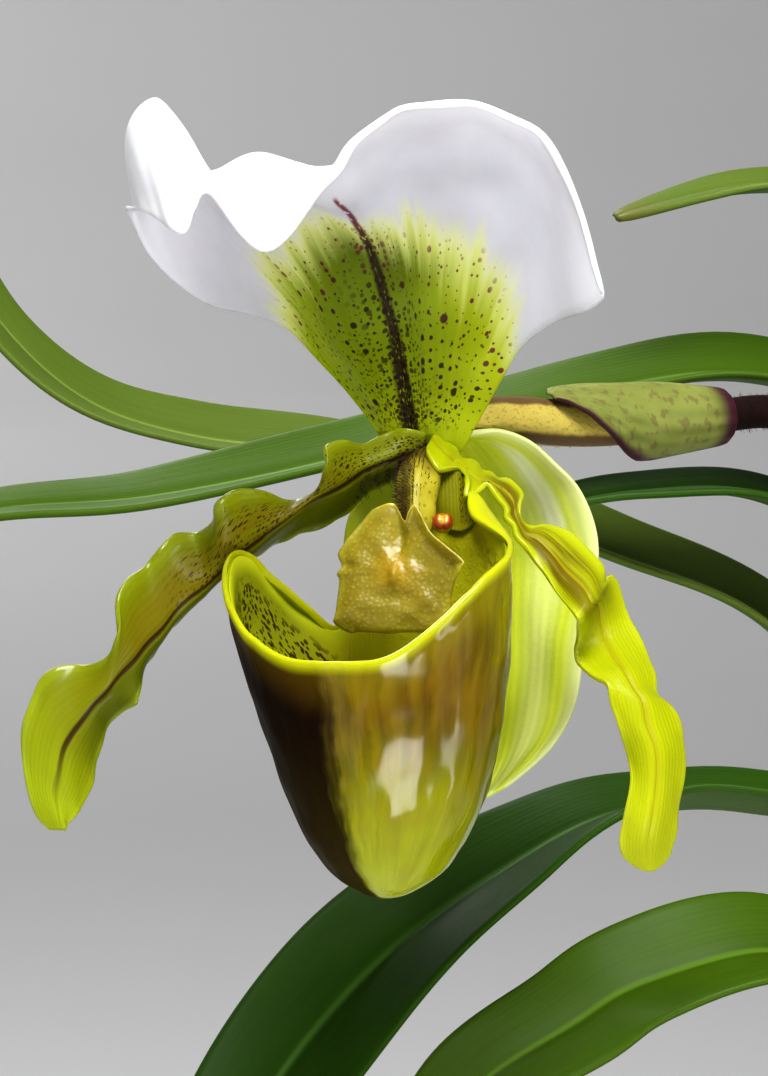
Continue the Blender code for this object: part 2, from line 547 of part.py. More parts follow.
def add_mix(parent):
    look = material("bark_mix", (0.13, 0.07, 0.04), 0.95)
    mix = spin("potting_mix", mix_profile(), look, parent)
    draw = random.Random(7)
    top = VASE_HEIGHT - MIX_DROP
    chips = bmesh.new()
    for number in range(CHIP_COUNT):
        # Sunflower spacing keeps the chips apart
        reach = CHIP_REACH * math.sqrt((number + 0.5) / CHIP_COUNT)
        turn = number * CHIP_TURN + draw.uniform(-0.2, 0.2)
        spot = Vector((reach * math.cos(turn), reach * math.sin(turn), top + draw.uniform(-0.6, 0.9)))
        nod = Matrix.Rotation(draw.uniform(-0.35, 0.35), 4, "X")
        lean = nod @ Matrix.Rotation(draw.uniform(-0.35, 0.35), 4, "Y")
        length = CHIP_SIZE * draw.uniform(0.7, 1.15)
        size = Matrix.Diagonal((length, CHIP_SIZE * draw.uniform(0.45, 0.8), CHIP_THICK, 1))
        heading = Matrix.Rotation(draw.uniform(0, math.pi), 4, "Z")
        place = Matrix.Translation(spot * MM) @ heading @ lean @ Matrix.Scale(MM, 4) @ size
        made = bmesh.ops.create_cube(chips, size=1.0, matrix=place)
        for corner in made["verts"]:
            corner.co += Vector([draw.uniform(-0.9, 0.9) * MM for _ in range(3)])
    mesh = bpy.data.meshes.new("chip_shapes")
    chips.to_mesh(mesh)
    chips.free()
    shapes = bpy.data.objects.new("chip_shapes", mesh)
    bpy.context.scene.collection.objects.link(shapes)
    shapes.parent = parent
    helper(shapes)
    made = join(mix, shapes, "UNION")
    made.use_self = True
    for name, ((x, y), turn) in FANS.items():
        length, width, shift = SLOT_SIZE[name]
        bpy.ops.mesh.primitive_cube_add(size=1.0)
        cutter = bpy.context.object
        cutter.name = f"slot_{name}"
        cutter.scale = (length * MM, width * MM, SLOT_DEPTH * MM)
        bpy.ops.object.transform_apply(location=False, rotation=False, scale=True)
        bevel = cutter.modifiers.new("Round ends", "BEVEL")
        bevel.width = SLOT_ROUND * MM
        bevel.segments = 3
        cutter.parent = parent
        turned = Matrix.Rotation(math.radians(turn), 3, "Z") @ Vector((shift, 0, 0))
        cutter.location = Vector((x + turned.x, y + turned.y, top - HOLE_DEPTH + SLOT_DEPTH / 2)) * MM
        cutter.rotation_euler = (0, 0, math.radians(turn))
        helper(cutter)
        drill(mix, cutter)
    radius = (SCAPE_RADIUS + SCAPE_SWELL + SCAPE_ROOM) * MM
    bpy.ops.mesh.primitive_cylinder_add(vertices=20, radius=radius, depth=SLOT_DEPTH * MM)
    cutter = bpy.context.object
    cutter.name = "hole_scape"
    cutter.location = Vector((*SCAPE_FOOT, top - HOLE_DEPTH + SLOT_DEPTH / 2)) * MM
    cutter.parent = parent
    helper(cutter)
    drill(mix, cutter)


def drill(mix, cutter):
    # EXACT loses the whole plug where a hole crosses the chips
    join(mix, cutter, "DIFFERENCE").solver = "MANIFOLD"


def main():
    clear_scene()
    plant = empty("plant", (0, 0, 0))
    bloom = empty("bloom", BLOOM_HEART, (BLOOM_TILT, 0, 0))
    bloom.parent = plant
    add_vase(plant)
    add_mix(plant)
    green = material("leaf_tissue", (0.07, 0.16, 0.04), 0.4)
    for number, leaf in enumerate(LEAVES, 1):
        add_leaf(number, leaf, green, plant)
    add_stalk(bloom, plant)
    add_bloom(bloom)


main()
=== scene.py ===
import math
import random

import bpy
import numpy as np
from mathutils import Matrix, Vector, noise


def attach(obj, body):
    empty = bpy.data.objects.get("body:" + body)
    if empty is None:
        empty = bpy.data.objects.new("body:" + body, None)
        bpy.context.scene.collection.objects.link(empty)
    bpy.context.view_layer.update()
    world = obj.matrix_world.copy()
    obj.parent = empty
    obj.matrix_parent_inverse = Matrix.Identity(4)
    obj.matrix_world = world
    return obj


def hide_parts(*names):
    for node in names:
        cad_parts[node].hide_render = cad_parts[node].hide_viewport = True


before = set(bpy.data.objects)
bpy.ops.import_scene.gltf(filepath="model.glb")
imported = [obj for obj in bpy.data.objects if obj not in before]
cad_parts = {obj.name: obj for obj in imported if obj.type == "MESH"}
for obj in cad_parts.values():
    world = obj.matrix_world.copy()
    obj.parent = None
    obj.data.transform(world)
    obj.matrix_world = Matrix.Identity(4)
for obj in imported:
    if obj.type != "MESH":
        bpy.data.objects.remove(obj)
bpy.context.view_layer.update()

print("frame loaded:", len(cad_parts), "solids")

# Points of the bloom are in millimetres from its heart, x to the right, y away from its face, z up
mm = 0.001
bloom = {"heart": (-98, -31, 306), "tilt": -8}


def toRow(points):
    # from the bloom's own frame to the row's, in metres
    x, y, z = np.moveaxis(np.asarray(points, float), -1, 0)
    cosine, sine = math.cos(math.radians(bloom["tilt"])), math.sin(math.radians(bloom["tilt"]))
    turned = np.stack([x, cosine * y - sine * z, sine * y + cosine * z], axis=-1)
    return (turned + bloom["heart"]) * mm


# Lines and surfaces

def smoothLine(points, count):
    # a smooth line through the points, with equal steps from one to the next; rows of points work too
    points = np.asarray(points, float)
    longer = np.concatenate([[2 * points[0] - points[1]], points, [2 * points[-1] - points[-2]]])
    place = np.linspace(0, len(points) - 1, count)
    first = np.minimum(place.astype(int), len(points) - 2)
    t = (place - first).reshape((-1,) + (1,) * (points.ndim - 1))
    a, b, c, d = (longer[first + step] for step in range(4))
    square, cube = 2 * a - 5 * b + 4 * c - d, 3 * b - 3 * c + d - a
    return 0.5 * (2 * b + (c - a) * t + square * t**2 + cube * t**3)


def evenLine(points, count):
    # the same line with points an even distance apart
    fine = smoothLine(points, 40 * len(points))
    run = np.concatenate([[0], np.cumsum(np.linalg.norm(np.diff(fine, axis=0), axis=1))])
    wanted = np.linspace(0, run[-1], count)
    return np.stack([np.interp(wanted, run, fine[:, axis]) for axis in range(3)], axis=1)


def eased(at, stops, values):
    # a smooth curve through stops that lie at uneven distances
    at, stops, values = np.asarray(at, float), np.asarray(stops, float), np.asarray(values, float)
    slopes = np.gradient(values, stops)
    at = np.clip(at, stops[0], stops[-1])
    first = np.clip(np.searchsorted(stops, at, side="right") - 1, 0, len(stops) - 2)
    gap = stops[first + 1] - stops[first]
    t = (at - stops[first]) / gap
    return ((2 * t**3 - 3 * t**2 + 1) * values[first] + (t**3 - 2 * t**2 + t) * gap * slopes[first]
            + (3 * t**2 - 2 * t**3) * values[first + 1] + (t**3 - t**2) * gap * slopes[first + 1])


def wayAlong(line):
    step = np.gradient(line, axis=0)
    return step / np.linalg.norm(step, axis=1, keepdims=True)


def normalsOf(grid):
    across, along = np.gradient(grid, axis=1), np.gradient(grid, axis=0)
    normal = np.cross(across, along)
    return normal / np.maximum(np.linalg.norm(normal, axis=2, keepdims=True), 1e-12)


def ringsAlong(line, radii, sides, ribs=0, ribHeight=0.0):
    # closed rings of points across a line, the last point on the first
    upward = np.array([0.0, 0.0, 1.0])
    turn = np.linspace(0, 2 * math.pi, sides + 1)
    rings = []
    for point, way, radius in zip(line, wayAlong(line), radii):
        upward = upward - way * upward.dot(way)
        upward /= np.linalg.norm(upward)
        beside = np.cross(way, upward)
        reach = radius * (1 + ribHeight * np.cos(ribs * turn))
        outward = np.cos(turn)[:, None] * upward + np.sin(turn)[:, None] * beside
        rings.append(point + reach[:, None] * outward)
    return np.array(rings)


def closedEnds(line, rings, tip=0.0):
    # the rings, and at each end of the line one more whose points all lie there
    ends = (line[:1, None], line[-1:, None] + tip * wayAlong(line)[-1])
    first, last = (np.repeat(end, rings.shape[1], axis=1) for end in ends)
    return np.concatenate([first, rings, last])


def railGrid(rails, rows, columns):
    # a smooth grid through lines of points: rows along the lines, columns from one to the next
    lines = np.array([smoothLine(rail, rows) for rail in rails])
    return smoothLine(lines, columns).swapaxes(0, 1)


def shares(grid):
    # how far each column lies across the grid and each row along it, from 0 to 1
    rows, columns = grid.shape[:2]
    return np.linspace(0, 1, columns)[None, :], np.linspace(0, 1, rows)[:, None]


def raised(grid, lift):
    # the grid with its points moved along its normals
    return grid + normalsOf(grid) * lift[:, :, None]


def dimples(grid, size=1.0):
    # smooth noise at each point of a grid
    return np.array([[noise.noise(Vector(point) / size) for point in row] for row in grid])


def hill(value, centre, width):
    # 1 at the centre, falling off smoothly on both sides
    return np.exp(-(((value - centre) / width) ** 2))


# Pieces

def surfacePiece(name, points, closed=False, sizes=None):
    # a grid primitive laid on the points: rows along the piece, columns across it; the size map holds
    # the width across and the run along, in decimetres, so that spots and veins keep their real size
    rows, columns = points.shape[:2]
    bpy.ops.object.select_all(action="DESELECT")
    bpy.ops.mesh.primitive_grid_add(x_subdivisions=columns - 1, y_subdivisions=rows - 1, size=1)
    piece = bpy.context.object
    piece.name = name
    mesh = piece.data
    mesh.vertices.foreach_set("co", points.astype(np.float32).ravel())
    if sizes is None:
        steps = np.linalg.norm(np.diff(points, axis=1), axis=2)
        width = np.repeat(steps.sum(axis=1)[:, None], columns, axis=1)
        runs = np.cumsum(np.linalg.norm(np.diff(points, axis=0), axis=2), axis=0)
        run = np.concatenate([np.zeros((1, columns)), runs])
        sizes = np.stack([width, run], axis=-1)
    corner = np.zeros(len(mesh.loops), np.int32)
    mesh.loops.foreach_get("vertex_index", corner)
    layer = mesh.uv_layers.new(name="size")
    layer.uv.foreach_set("vector", (sizes.reshape(-1, 2)[corner] * 10).astype(np.float32).ravel())
    mesh.uv_layers.active = mesh.uv_layers["UVMap"]
    mesh.update()
    if closed:
        bpy.ops.object.mode_set(mode="EDIT")
        bpy.ops.mesh.select_all(action="SELECT")
        bpy.ops.mesh.remove_doubles(threshold=1e-6)
        bpy.ops.object.mode_set(mode="OBJECT")
    return piece


def pickOut(piece):
    bpy.ops.object.select_all(action="DESELECT")
    piece.select_set(True)
    bpy.context.view_layer.objects.active = piece


def applyAll(piece):
    pickOut(piece)
    for modifier in list(piece.modifiers):
        bpy.ops.object.modifier_apply(modifier=modifier.name)


def thicken(piece, thickness, *looks):
    # both faces of a sheet, its edge rounded by the subdivision; a second look goes to the far side
    for look in looks:
        piece.data.materials.append(look)
    solid = piece.modifiers.new("Wall", "SOLIDIFY")
    solid.thickness = thickness * mm
    solid.offset = 0
    solid.use_quality_normals = True
    solid.material_offset = len(looks) - 1
    smooth = piece.modifiers.new("Smooth", "SUBSURF")
    smooth.levels = smooth.render_levels = 1
    smooth.uv_smooth = "NONE"
    applyAll(piece)


def finishPiece(piece, slotName, *nodes):
    pickOut(piece)
    bpy.ops.object.shade_smooth()
    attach(piece, "root")
    if nodes:
        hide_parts(*nodes)
    print("made", piece.name, len(piece.data.polygons), "faces")


def turnOut(piece):
    pickOut(piece)
    bpy.ops.object.mode_set(mode="EDIT")
    bpy.ops.mesh.select_all(action="SELECT")
    bpy.ops.mesh.normals_make_consistent(inside=False)
    bpy.ops.object.mode_set(mode="OBJECT")


def closedPiece(name, points, look):
    piece = surfacePiece(name, points, closed=True)
    turnOut(piece)
    piece.data.materials.append(look)
    return piece


def drawUp(rings, unit=1.0):
    # the open edge of the active disc drawn on over rings of radius and height; it stays in edit mode
    bpy.ops.object.mode_set(mode="EDIT")
    bpy.ops.mesh.select_all(action="DESELECT")
    bpy.ops.mesh.select_mode(type="EDGE")
    bpy.ops.mesh.select_non_manifold()
    for (radius, level), (nextRadius, nextLevel) in zip(rings, rings[1:]):
        rise, widen = (nextLevel - level) * unit, nextRadius / radius
        bpy.ops.mesh.extrude_region_move(TRANSFORM_OT_translate={"value": (0, 0, rise)})
        bpy.ops.transform.resize(value=(widen, widen, 1), center_override=(0, 0, 0))


def joinTo(piece, *others):
    pickOut(piece)
    for other in others:
        other.select_set(True)
    bpy.ops.object.join()


def scatter(grid, count, across, along, seed):
    # random places on a grid of points, with the surface's normal and its way along
    draw = np.random.default_rng(seed)
    rows, columns = grid.shape[:2]
    normals = normalsOf(grid)
    way = np.gradient(grid, axis=0)
    way /= np.maximum(np.linalg.norm(way, axis=2, keepdims=True), 1e-12)
    column = draw.uniform(across[0], across[1], count) * (columns - 1)
    row = draw.uniform(along[0], along[1], count) * (rows - 1)
    i, j = np.minimum(row.astype(int), rows - 2), np.minimum(column.astype(int), columns - 2)
    s, t = (row - i)[:, None], (column - j)[:, None]
    place = (1 - s) * ((1 - t) * grid[i, j] + t * grid[i, j + 1])
    place = place + s * ((1 - t) * grid[i + 1, j] + t * grid[i + 1, j + 1])
    return place, normals[i, j], way[i, j]


def hairPiece(name, roots, leans, lengths, width, look, draw):
    # fine bent hairs, each a three-sided blade of two steps and a point; leans are the ways they point,
    # and their lengths are drawn between two limits
    lengths = draw.uniform(*lengths, len(roots))[:, None] * mm
    width = width * mm
    leans = leans / np.linalg.norm(leans, axis=1, keepdims=True)
    side = np.cross(leans, [0.31, 0.52, 0.79])
    side /= np.linalg.norm(side, axis=1, keepdims=True)
    other = np.cross(leans, side)
    middle = roots + leans * lengths * 0.55 + side * lengths * 0.05
    tips = roots + leans * lengths + side * lengths * 0.22
    rings = []
    for centre, reach in ((roots - leans * width, width), (middle, width * 0.72)):
        for turn in (0, 2 * math.pi / 3, 4 * math.pi / 3):
            rings.append(centre + reach * (math.cos(turn) * side + math.sin(turn) * other))
    points = np.stack(rings + [tips], axis=1).reshape(-1, 3)
    faces = []
    for start in range(0, len(points), 7):
        for a, b in ((0, 1), (1, 2), (2, 0)):
            faces.append((start + a, start + b, start + 3 + b, start + 3 + a))
            faces.append((start + 3 + a, start + 3 + b, start + 6))
        faces.append((start + 2, start + 1, start))
    mesh = bpy.data.meshes.new(name)
    mesh.from_pydata(points.tolist(), [], faces)
    mesh.materials.append(look)
    piece = bpy.data.objects.new(name, mesh)
    bpy.context.scene.collection.objects.link(piece)
    turnOut(piece)
    return piece


# Looks

class Value:
    # a shader socket that Python's operators add Math nodes to
    def __init__(self, look, socket):
        self.look = look
        self.socket = socket

    def __add__(self, other):
        return self.look.maths("ADD", self, other)

    def __sub__(self, other):
        return self.look.maths("SUBTRACT", self, other)

    def __rsub__(self, other):
        return self.look.maths("SUBTRACT", other, self)

    def __mul__(self, other):
        return self.look.maths("MULTIPLY", self, other)

    def __truediv__(self, other):
        return self.look.maths("DIVIDE", self, other)

    def __rtruediv__(self, other):
        return self.look.maths("DIVIDE", other, self)

    __radd__ = __add__
    __rmul__ = __mul__


class Look:
    # one Principled material, with short calls for the nodes that it needs
    def __init__(self, name, **constants):
        self.material = bpy.data.materials.new(name)
        self.material.use_nodes = True
        self.tree = self.material.node_tree
        self.shader = self.tree.nodes["Principled BSDF"]
        for socket, value in constants.items():
            words = "".join(" " + letter if letter.isupper() else letter for letter in socket)
            self.shader.inputs[(words[0].upper() + words[1:]).replace("Ior", "IOR")].default_value = value

    def node(self, kind, settings, inputs, output=0):
        made = self.tree.nodes.new("ShaderNode" + kind)
        for name, value in settings.items():
            setattr(made, name, value)
        for name, value in inputs.items():
            if isinstance(value, Value):
                self.tree.links.new(value.socket, made.inputs[name])
            elif isinstance(value, tuple) and made.inputs[name].type == "RGBA":
                made.inputs[name].default_value = (*value, 1)
            else:
                made.inputs[name].default_value = value
        return Value(self, made.outputs[output])

    def maths(self, operation, first, second=0.0):
        return self.node("Math", {"operation": operation}, {0: first, 1: second})

    def place(self):
        return self.node("TexCoord", {}, {}, "Object")

    def split(self, vector):
        made = self.node("SeparateXYZ", {}, {0: vector})
        return [Value(self, socket) for socket in made.socket.node.outputs]

    def surface(self, name="UVMap"):
        # a map's two shares, across and along; the size map's are the width and the run
        return self.split(self.node("UVMap", {"uv_map": name}, {}))[:2]

    def vector(self, x, y, z=0.0):
        return self.node("CombineXYZ", {}, {0: x, 1: y, 2: z})

    def step(self, value, low, high):
        return self.node("MapRange", {"interpolation_type": "SMOOTHSTEP"},
                         {"Value": value, "From Min": low, "From Max": high})

    def fade(self, value, low, high):
        return 1 - self.step(value, low, high)

    def fromMiddle(self, value, middle=0.5):
        return self.maths("ABSOLUTE", value - middle)

    def band(self, value, centre, inner, outer):
        # 1 on a line at centre, fading out between the two half widths
        return self.fade(self.fromMiddle(value, centre), inner, outer)

    def larger(self, first, second):
        return self.maths("MAXIMUM", first, second)

    def mix(self, factor, first, second):
        return self.node("Mix", {"data_type": "RGBA"}, {0: factor, 6: first, 7: second}, 2)

    def noise(self, vector, scale, detail=2.0):
        return self.node("TexNoise", {}, {"Vector": vector, "Scale": scale, "Detail": detail})

    def stretched(self, x, y, detail):
        # noise drawn out along one side of a map
        return self.noise(self.vector(x, y), 1.0, detail)

    def cells(self, vector, scale):
        return self.node("TexVoronoi", {}, {"Vector": vector, "Scale": scale})

    def bump(self, height, distance, strength):
        return self.node("Bump", {}, {"Height": height, "Distance": distance, "Strength": strength})

    def spotRows(self, across, width, run, rows, pitch, small, large, chance, seed):
        # round spots in rows along the veins; width, run, pitch and the two radii in decimetres
        lane = across * rows
        laneNumber = self.maths("FLOOR", lane)
        laneWidth = width / rows
        start = self.node("TexWhiteNoise", {"noise_dimensions": "2D"},
                          {"Vector": self.vector(laneNumber, seed)})
        step = run / pitch + start * 9.0
        number = self.maths("FLOOR", step)
        drawn = self.node("TexWhiteNoise", {"noise_dimensions": "3D"},
                          {"Vector": self.vector(laneNumber, number, seed)}, 1)
        first, second, third = self.split(drawn)
        offLane = (lane - laneNumber - 0.5 + (first - 0.5) * 0.36) * laneWidth
        offStep = (step - number - 0.5 + (second - 0.5) * 0.5) * pitch
        away = self.maths("SQRT", offLane * offLane * 1.5 + offStep * offStep * 0.6)
        reach = small + (large - small) * third * third
        there = self.maths("LESS_THAN", first * 0.4 + third * 0.6, chance)
        return self.fade(away / reach, 0.75, 1.15) * there

    def ridges(self, across, count, wander):
        # veins side by side along the piece, 0 between them and 1 on them
        return self.maths("SINE", across * (2 * math.pi * count) + wander) * 0.5 + 0.5

    def finish(self, base, roughness=None, normal=None, **others):
        links = {"Base Color": base, "Roughness": roughness, "Normal": normal, **others}
        for name, value in links.items():
            if value is not None:
                self.tree.links.new(value.socket, self.shader.inputs[name])
        return self.material


def hairLook(name, roughness, scale, dark, light):
    look = Look(name, roughness=roughness)
    return look.finish(look.mix(look.noise(look.place(), scale), dark, light))


# Dorsal sepal

# lines from foot to margin: the left margin, both forward flaps, the midrib, the crown and the right lobe
dorsal = {"thickness": 0.8, "columns": 57, "rows": 76, "dimples": 0.45, "dimpleSize": 5.5, "ripple": 0.25,
          "ripples": 71, "midribDepth": 0.4, "rails": [
    [(-5, 3, -1.5), (-8.5, 1, 3.5), (-13.5, -4, 9), (-18.5, -8, 14), (-23, -11.5, 15.5), (-29, -14.5, 17),
     (-35, -18.5, 22), (-38, -22.5, 28.5)],
    [(-4.6, 3, -1.5), (-8, 0.5, 4), (-13.5, -5, 10.5), (-18, -10, 17), (-24, -14.5, 21), (-31.5, -19.5, 26),
     (-37.5, -25, 36), (-34, -34, 26)],
    [(-4.2, 3, -1.5), (-7.5, -0.5, 4.5), (-12.5, -7, 11.5), (-18.5, -12.5, 19), (-24.5, -18, 25),
     (-30.5, -23, 31.5), (-34, -28, 41), (-30, -40, 23)],
    [(-3.8, 3, -1.5), (-7, -1, 4.5), (-12, -8, 12), (-17, -14, 19.5), (-23, -20, 26), (-27, -25, 30.5),
     (-30.5, -29, 36), (-28.5, -38.5, 26)],
    [(-3.4, 3, -1.5), (-6, -1.5, 5), (-11, -8.5, 12), (-15.5, -15, 20), (-20.5, -21.5, 26.5),
     (-25, -26, 30), (-27.5, -29, 31.5), (-27, -35.5, 28.5)],
    [(-3, 3, -1.5), (-5, -1.5, 5), (-8.5, -9.5, 13), (-12.5, -17, 22), (-16, -23, 28), (-19, -28, 31),
     (-21, -31, 33.5), (-20, -43, 20.5)],
    [(-2, 3, -1.5), (-3, -1, 5), (-5, -8.5, 14.5), (-7.5, -15, 23), (-10, -20, 27), (-12, -24, 29),
     (-13, -27.5, 32), (-13.5, -32, 29)],
    [(-1, 3, -1.5), (-1.5, -1, 5), (-2.5, -8, 14.5), (-4, -14, 23.5), (-6, -18, 29.5), (-7.5, -21.5, 33.5),
     (-10, -24.5, 35.5), (-10, -27.5, 34.5)],
    [(0, 3, -1.5), (-0.5, -1, 5), (-1, -7.5, 14.5), (-1.5, -13, 25), (-2.5, -17.5, 32), (-3.5, -20.5, 36.5),
     (-4.5, -23.5, 39.5), (-5, -25.5, 39.5)],
    [(1.2, 3, -1.5), (1.5, -0.5, 5), (2, -6.5, 14.5), (2.5, -11.5, 25), (3, -15.5, 32), (3.5, -18, 37),
     (3.5, -20.5, 41), (3, -22.5, 41)],
    [(2.2, 3, -1.5), (3, 0, 5), (5, -5, 14), (7.5, -9.5, 23.5), (9, -12.5, 30.5), (10, -15, 36),
     (10.5, -17, 39.5), (10.5, -18.5, 39.5)],
    [(3, 3.5, -1.5), (4.5, 0.5, 5), (7.5, -3.5, 13), (11, -7.5, 21), (14, -10.5, 27), (15.5, -12.5, 31.5),
     (16.5, -14.5, 34), (16.5, -16, 33.5)],
    [(4.2, 3.5, -1.5), (7, 1, 3.5), (9.5, -1.5, 8), (12, -4, 12), (16.5, -6.5, 15), (20, -8.5, 16),
     (22, -10, 17.5), (22, -10.5, 18.5)],
]}


def sepalLook(name, back=False):
    look = Look(name, specularIorLevel=0.15, subsurfaceWeight=0.1, subsurfaceScale=0.002)
    across, along = look.surface()
    width, run = look.surface("size")
    streaks = look.stretched(across * 34, along * 2.5, 3.0)
    mottle = look.stretched(across * 9, along * 8, 3.0)
    # how far the green reaches: highest beside the midrib, lower towards the right lobe
    top = 0.48 + look.band(across, 0.44, 0.02, 0.15) * 0.04 - look.step(across, 0.50, 0.98) * 0.115
    past = along + (streaks - 0.5) * 0.16 - (top - look.fade(across, 0.0, 0.22) * 0.05)
    # painted light and shade: the white lighter towards the crown and greyer, lavender, lower down the
    # inner face
    litWhite = mottle * 0.3 + look.step(along, 0.60, 0.88) * 0.7
    litWhite = look.mix(litWhite, (0.49, 0.49, 0.54), (0.88, 0.88, 0.94))
    tissue = look.mix(look.fade(past, -0.03, 0.09) * 0.8, litWhite, (0.70, 0.75, 0.14))
    shade = look.mix(streaks * 0.7 + mottle * 0.3, (0.17, 0.24, 0.001), (0.38, 0.46, 0.002))
    light = look.step(across, 0.62, 0.95) * 0.6 + look.fade(along, 0.05, 0.20) * 0.6
    shade = look.mix(light, shade, (0.46, 0.53, 0.004))
    fromMidrib = look.maths("ABSOLUTE", across - 0.5 + (mottle - 0.5) * 0.012) * width
    deepening = look.fade(fromMidrib, 0.01, 0.17) * (look.step(along, 0.10, 0.45) * 0.68 + 0.2)
    shade = look.mix(deepening, shade, (0.070, 0.110, 0.001))
    tissue = look.mix(look.fade(past, -0.10, 0.04), tissue, shade)
    midrib = look.fade(fromMidrib - (0.5 - along) * 0.010, 0.0025, 0.0085) * look.fade(along, 0.70, 0.735)
    veins = look.ridges(across, 30, mottle * 3.0)
    cells = look.noise(look.place(), 900.0, 2.0)
    if back:
        tissue = look.mix(look.step(along, 0.55, 0.8), tissue, (0.94, 0.94, 0.97))
        tissue = look.mix(midrib * 0.5, tissue, (0.28, 0.30, 0.06))
        return look.finish(tissue, 0.5 + cells * 0.08, look.bump(veins * 0.35 + cells * 0.3, 0.0003, 0.4))
    shown = look.step(along, 0.05, 0.11) * look.fade(past, -0.05, 0.06) * look.step(across, 0.01, 0.03)
    dashes = look.spotRows(across, width, run, 24, 0.017, 0.0016, 0.0056, 0.64, 3)
    dots = look.spotRows(across, width, run, 37, 0.013, 0.0010, 0.0034, 0.5, 8)
    near = look.fade(fromMidrib, 0.0, 0.06)
    crowd = look.spotRows(across, width, run, 46, 0.010, 0.0012, 0.0044, 0.75, 12) * near
    spots = look.larger(look.larger(dashes, dots * 0.9), crowd) * shown
    ink = look.mix(look.step(past, -0.17, -0.03), (0.022, 0.006, 0.005), (0.15, 0.014, 0.040))
    tissue = look.mix(spots * 0.94, tissue, ink)
    broken = look.step(look.stretched(across * 120, run * 90, 1.0), 0.30, 0.42)
    rib = look.mix(look.step(along, 0.42, 0.62), (0.020, 0.007, 0.006), (0.17, 0.014, 0.045))
    tissue = look.mix(midrib * broken * 0.95, tissue, rib)
    height = veins * 0.15 + cells * 0.25 + spots * 0.35
    return look.finish(tissue, 0.46 - spots * 0.12 + cells * 0.08, look.bump(height, 0.0003, 0.4))


def makeDorsalSepal():
    grid = railGrid(dorsal["rails"], dorsal["rows"], dorsal["columns"])
    across, along = shares(grid)
    lift = dorsal["dimples"] * dimples(grid, dorsal["dimpleSize"])
    lift *= np.clip(along * 3, 0, 1) * (1 - 0.5 * np.clip(along * 8 - 7, 0, 1))
    lift += dorsal["ripple"] * np.clip(along * 6 - 5, 0, 1) * np.sin(across * dorsal["ripples"])
    lift -= dorsal["midribDepth"] * hill(across, 0.5, 0.012) * np.clip(8 - 8 * along, 0, 1)
    piece = surfacePiece("dorsalSepal", toRow(raised(grid, lift)))
    thicken(piece, dorsal["thickness"], sepalLook("sepalFront"), sepalLook("sepalBack", back=True))
    finishPiece(piece, "dorsal_sepal", "dorsal_sepal")


# Petals

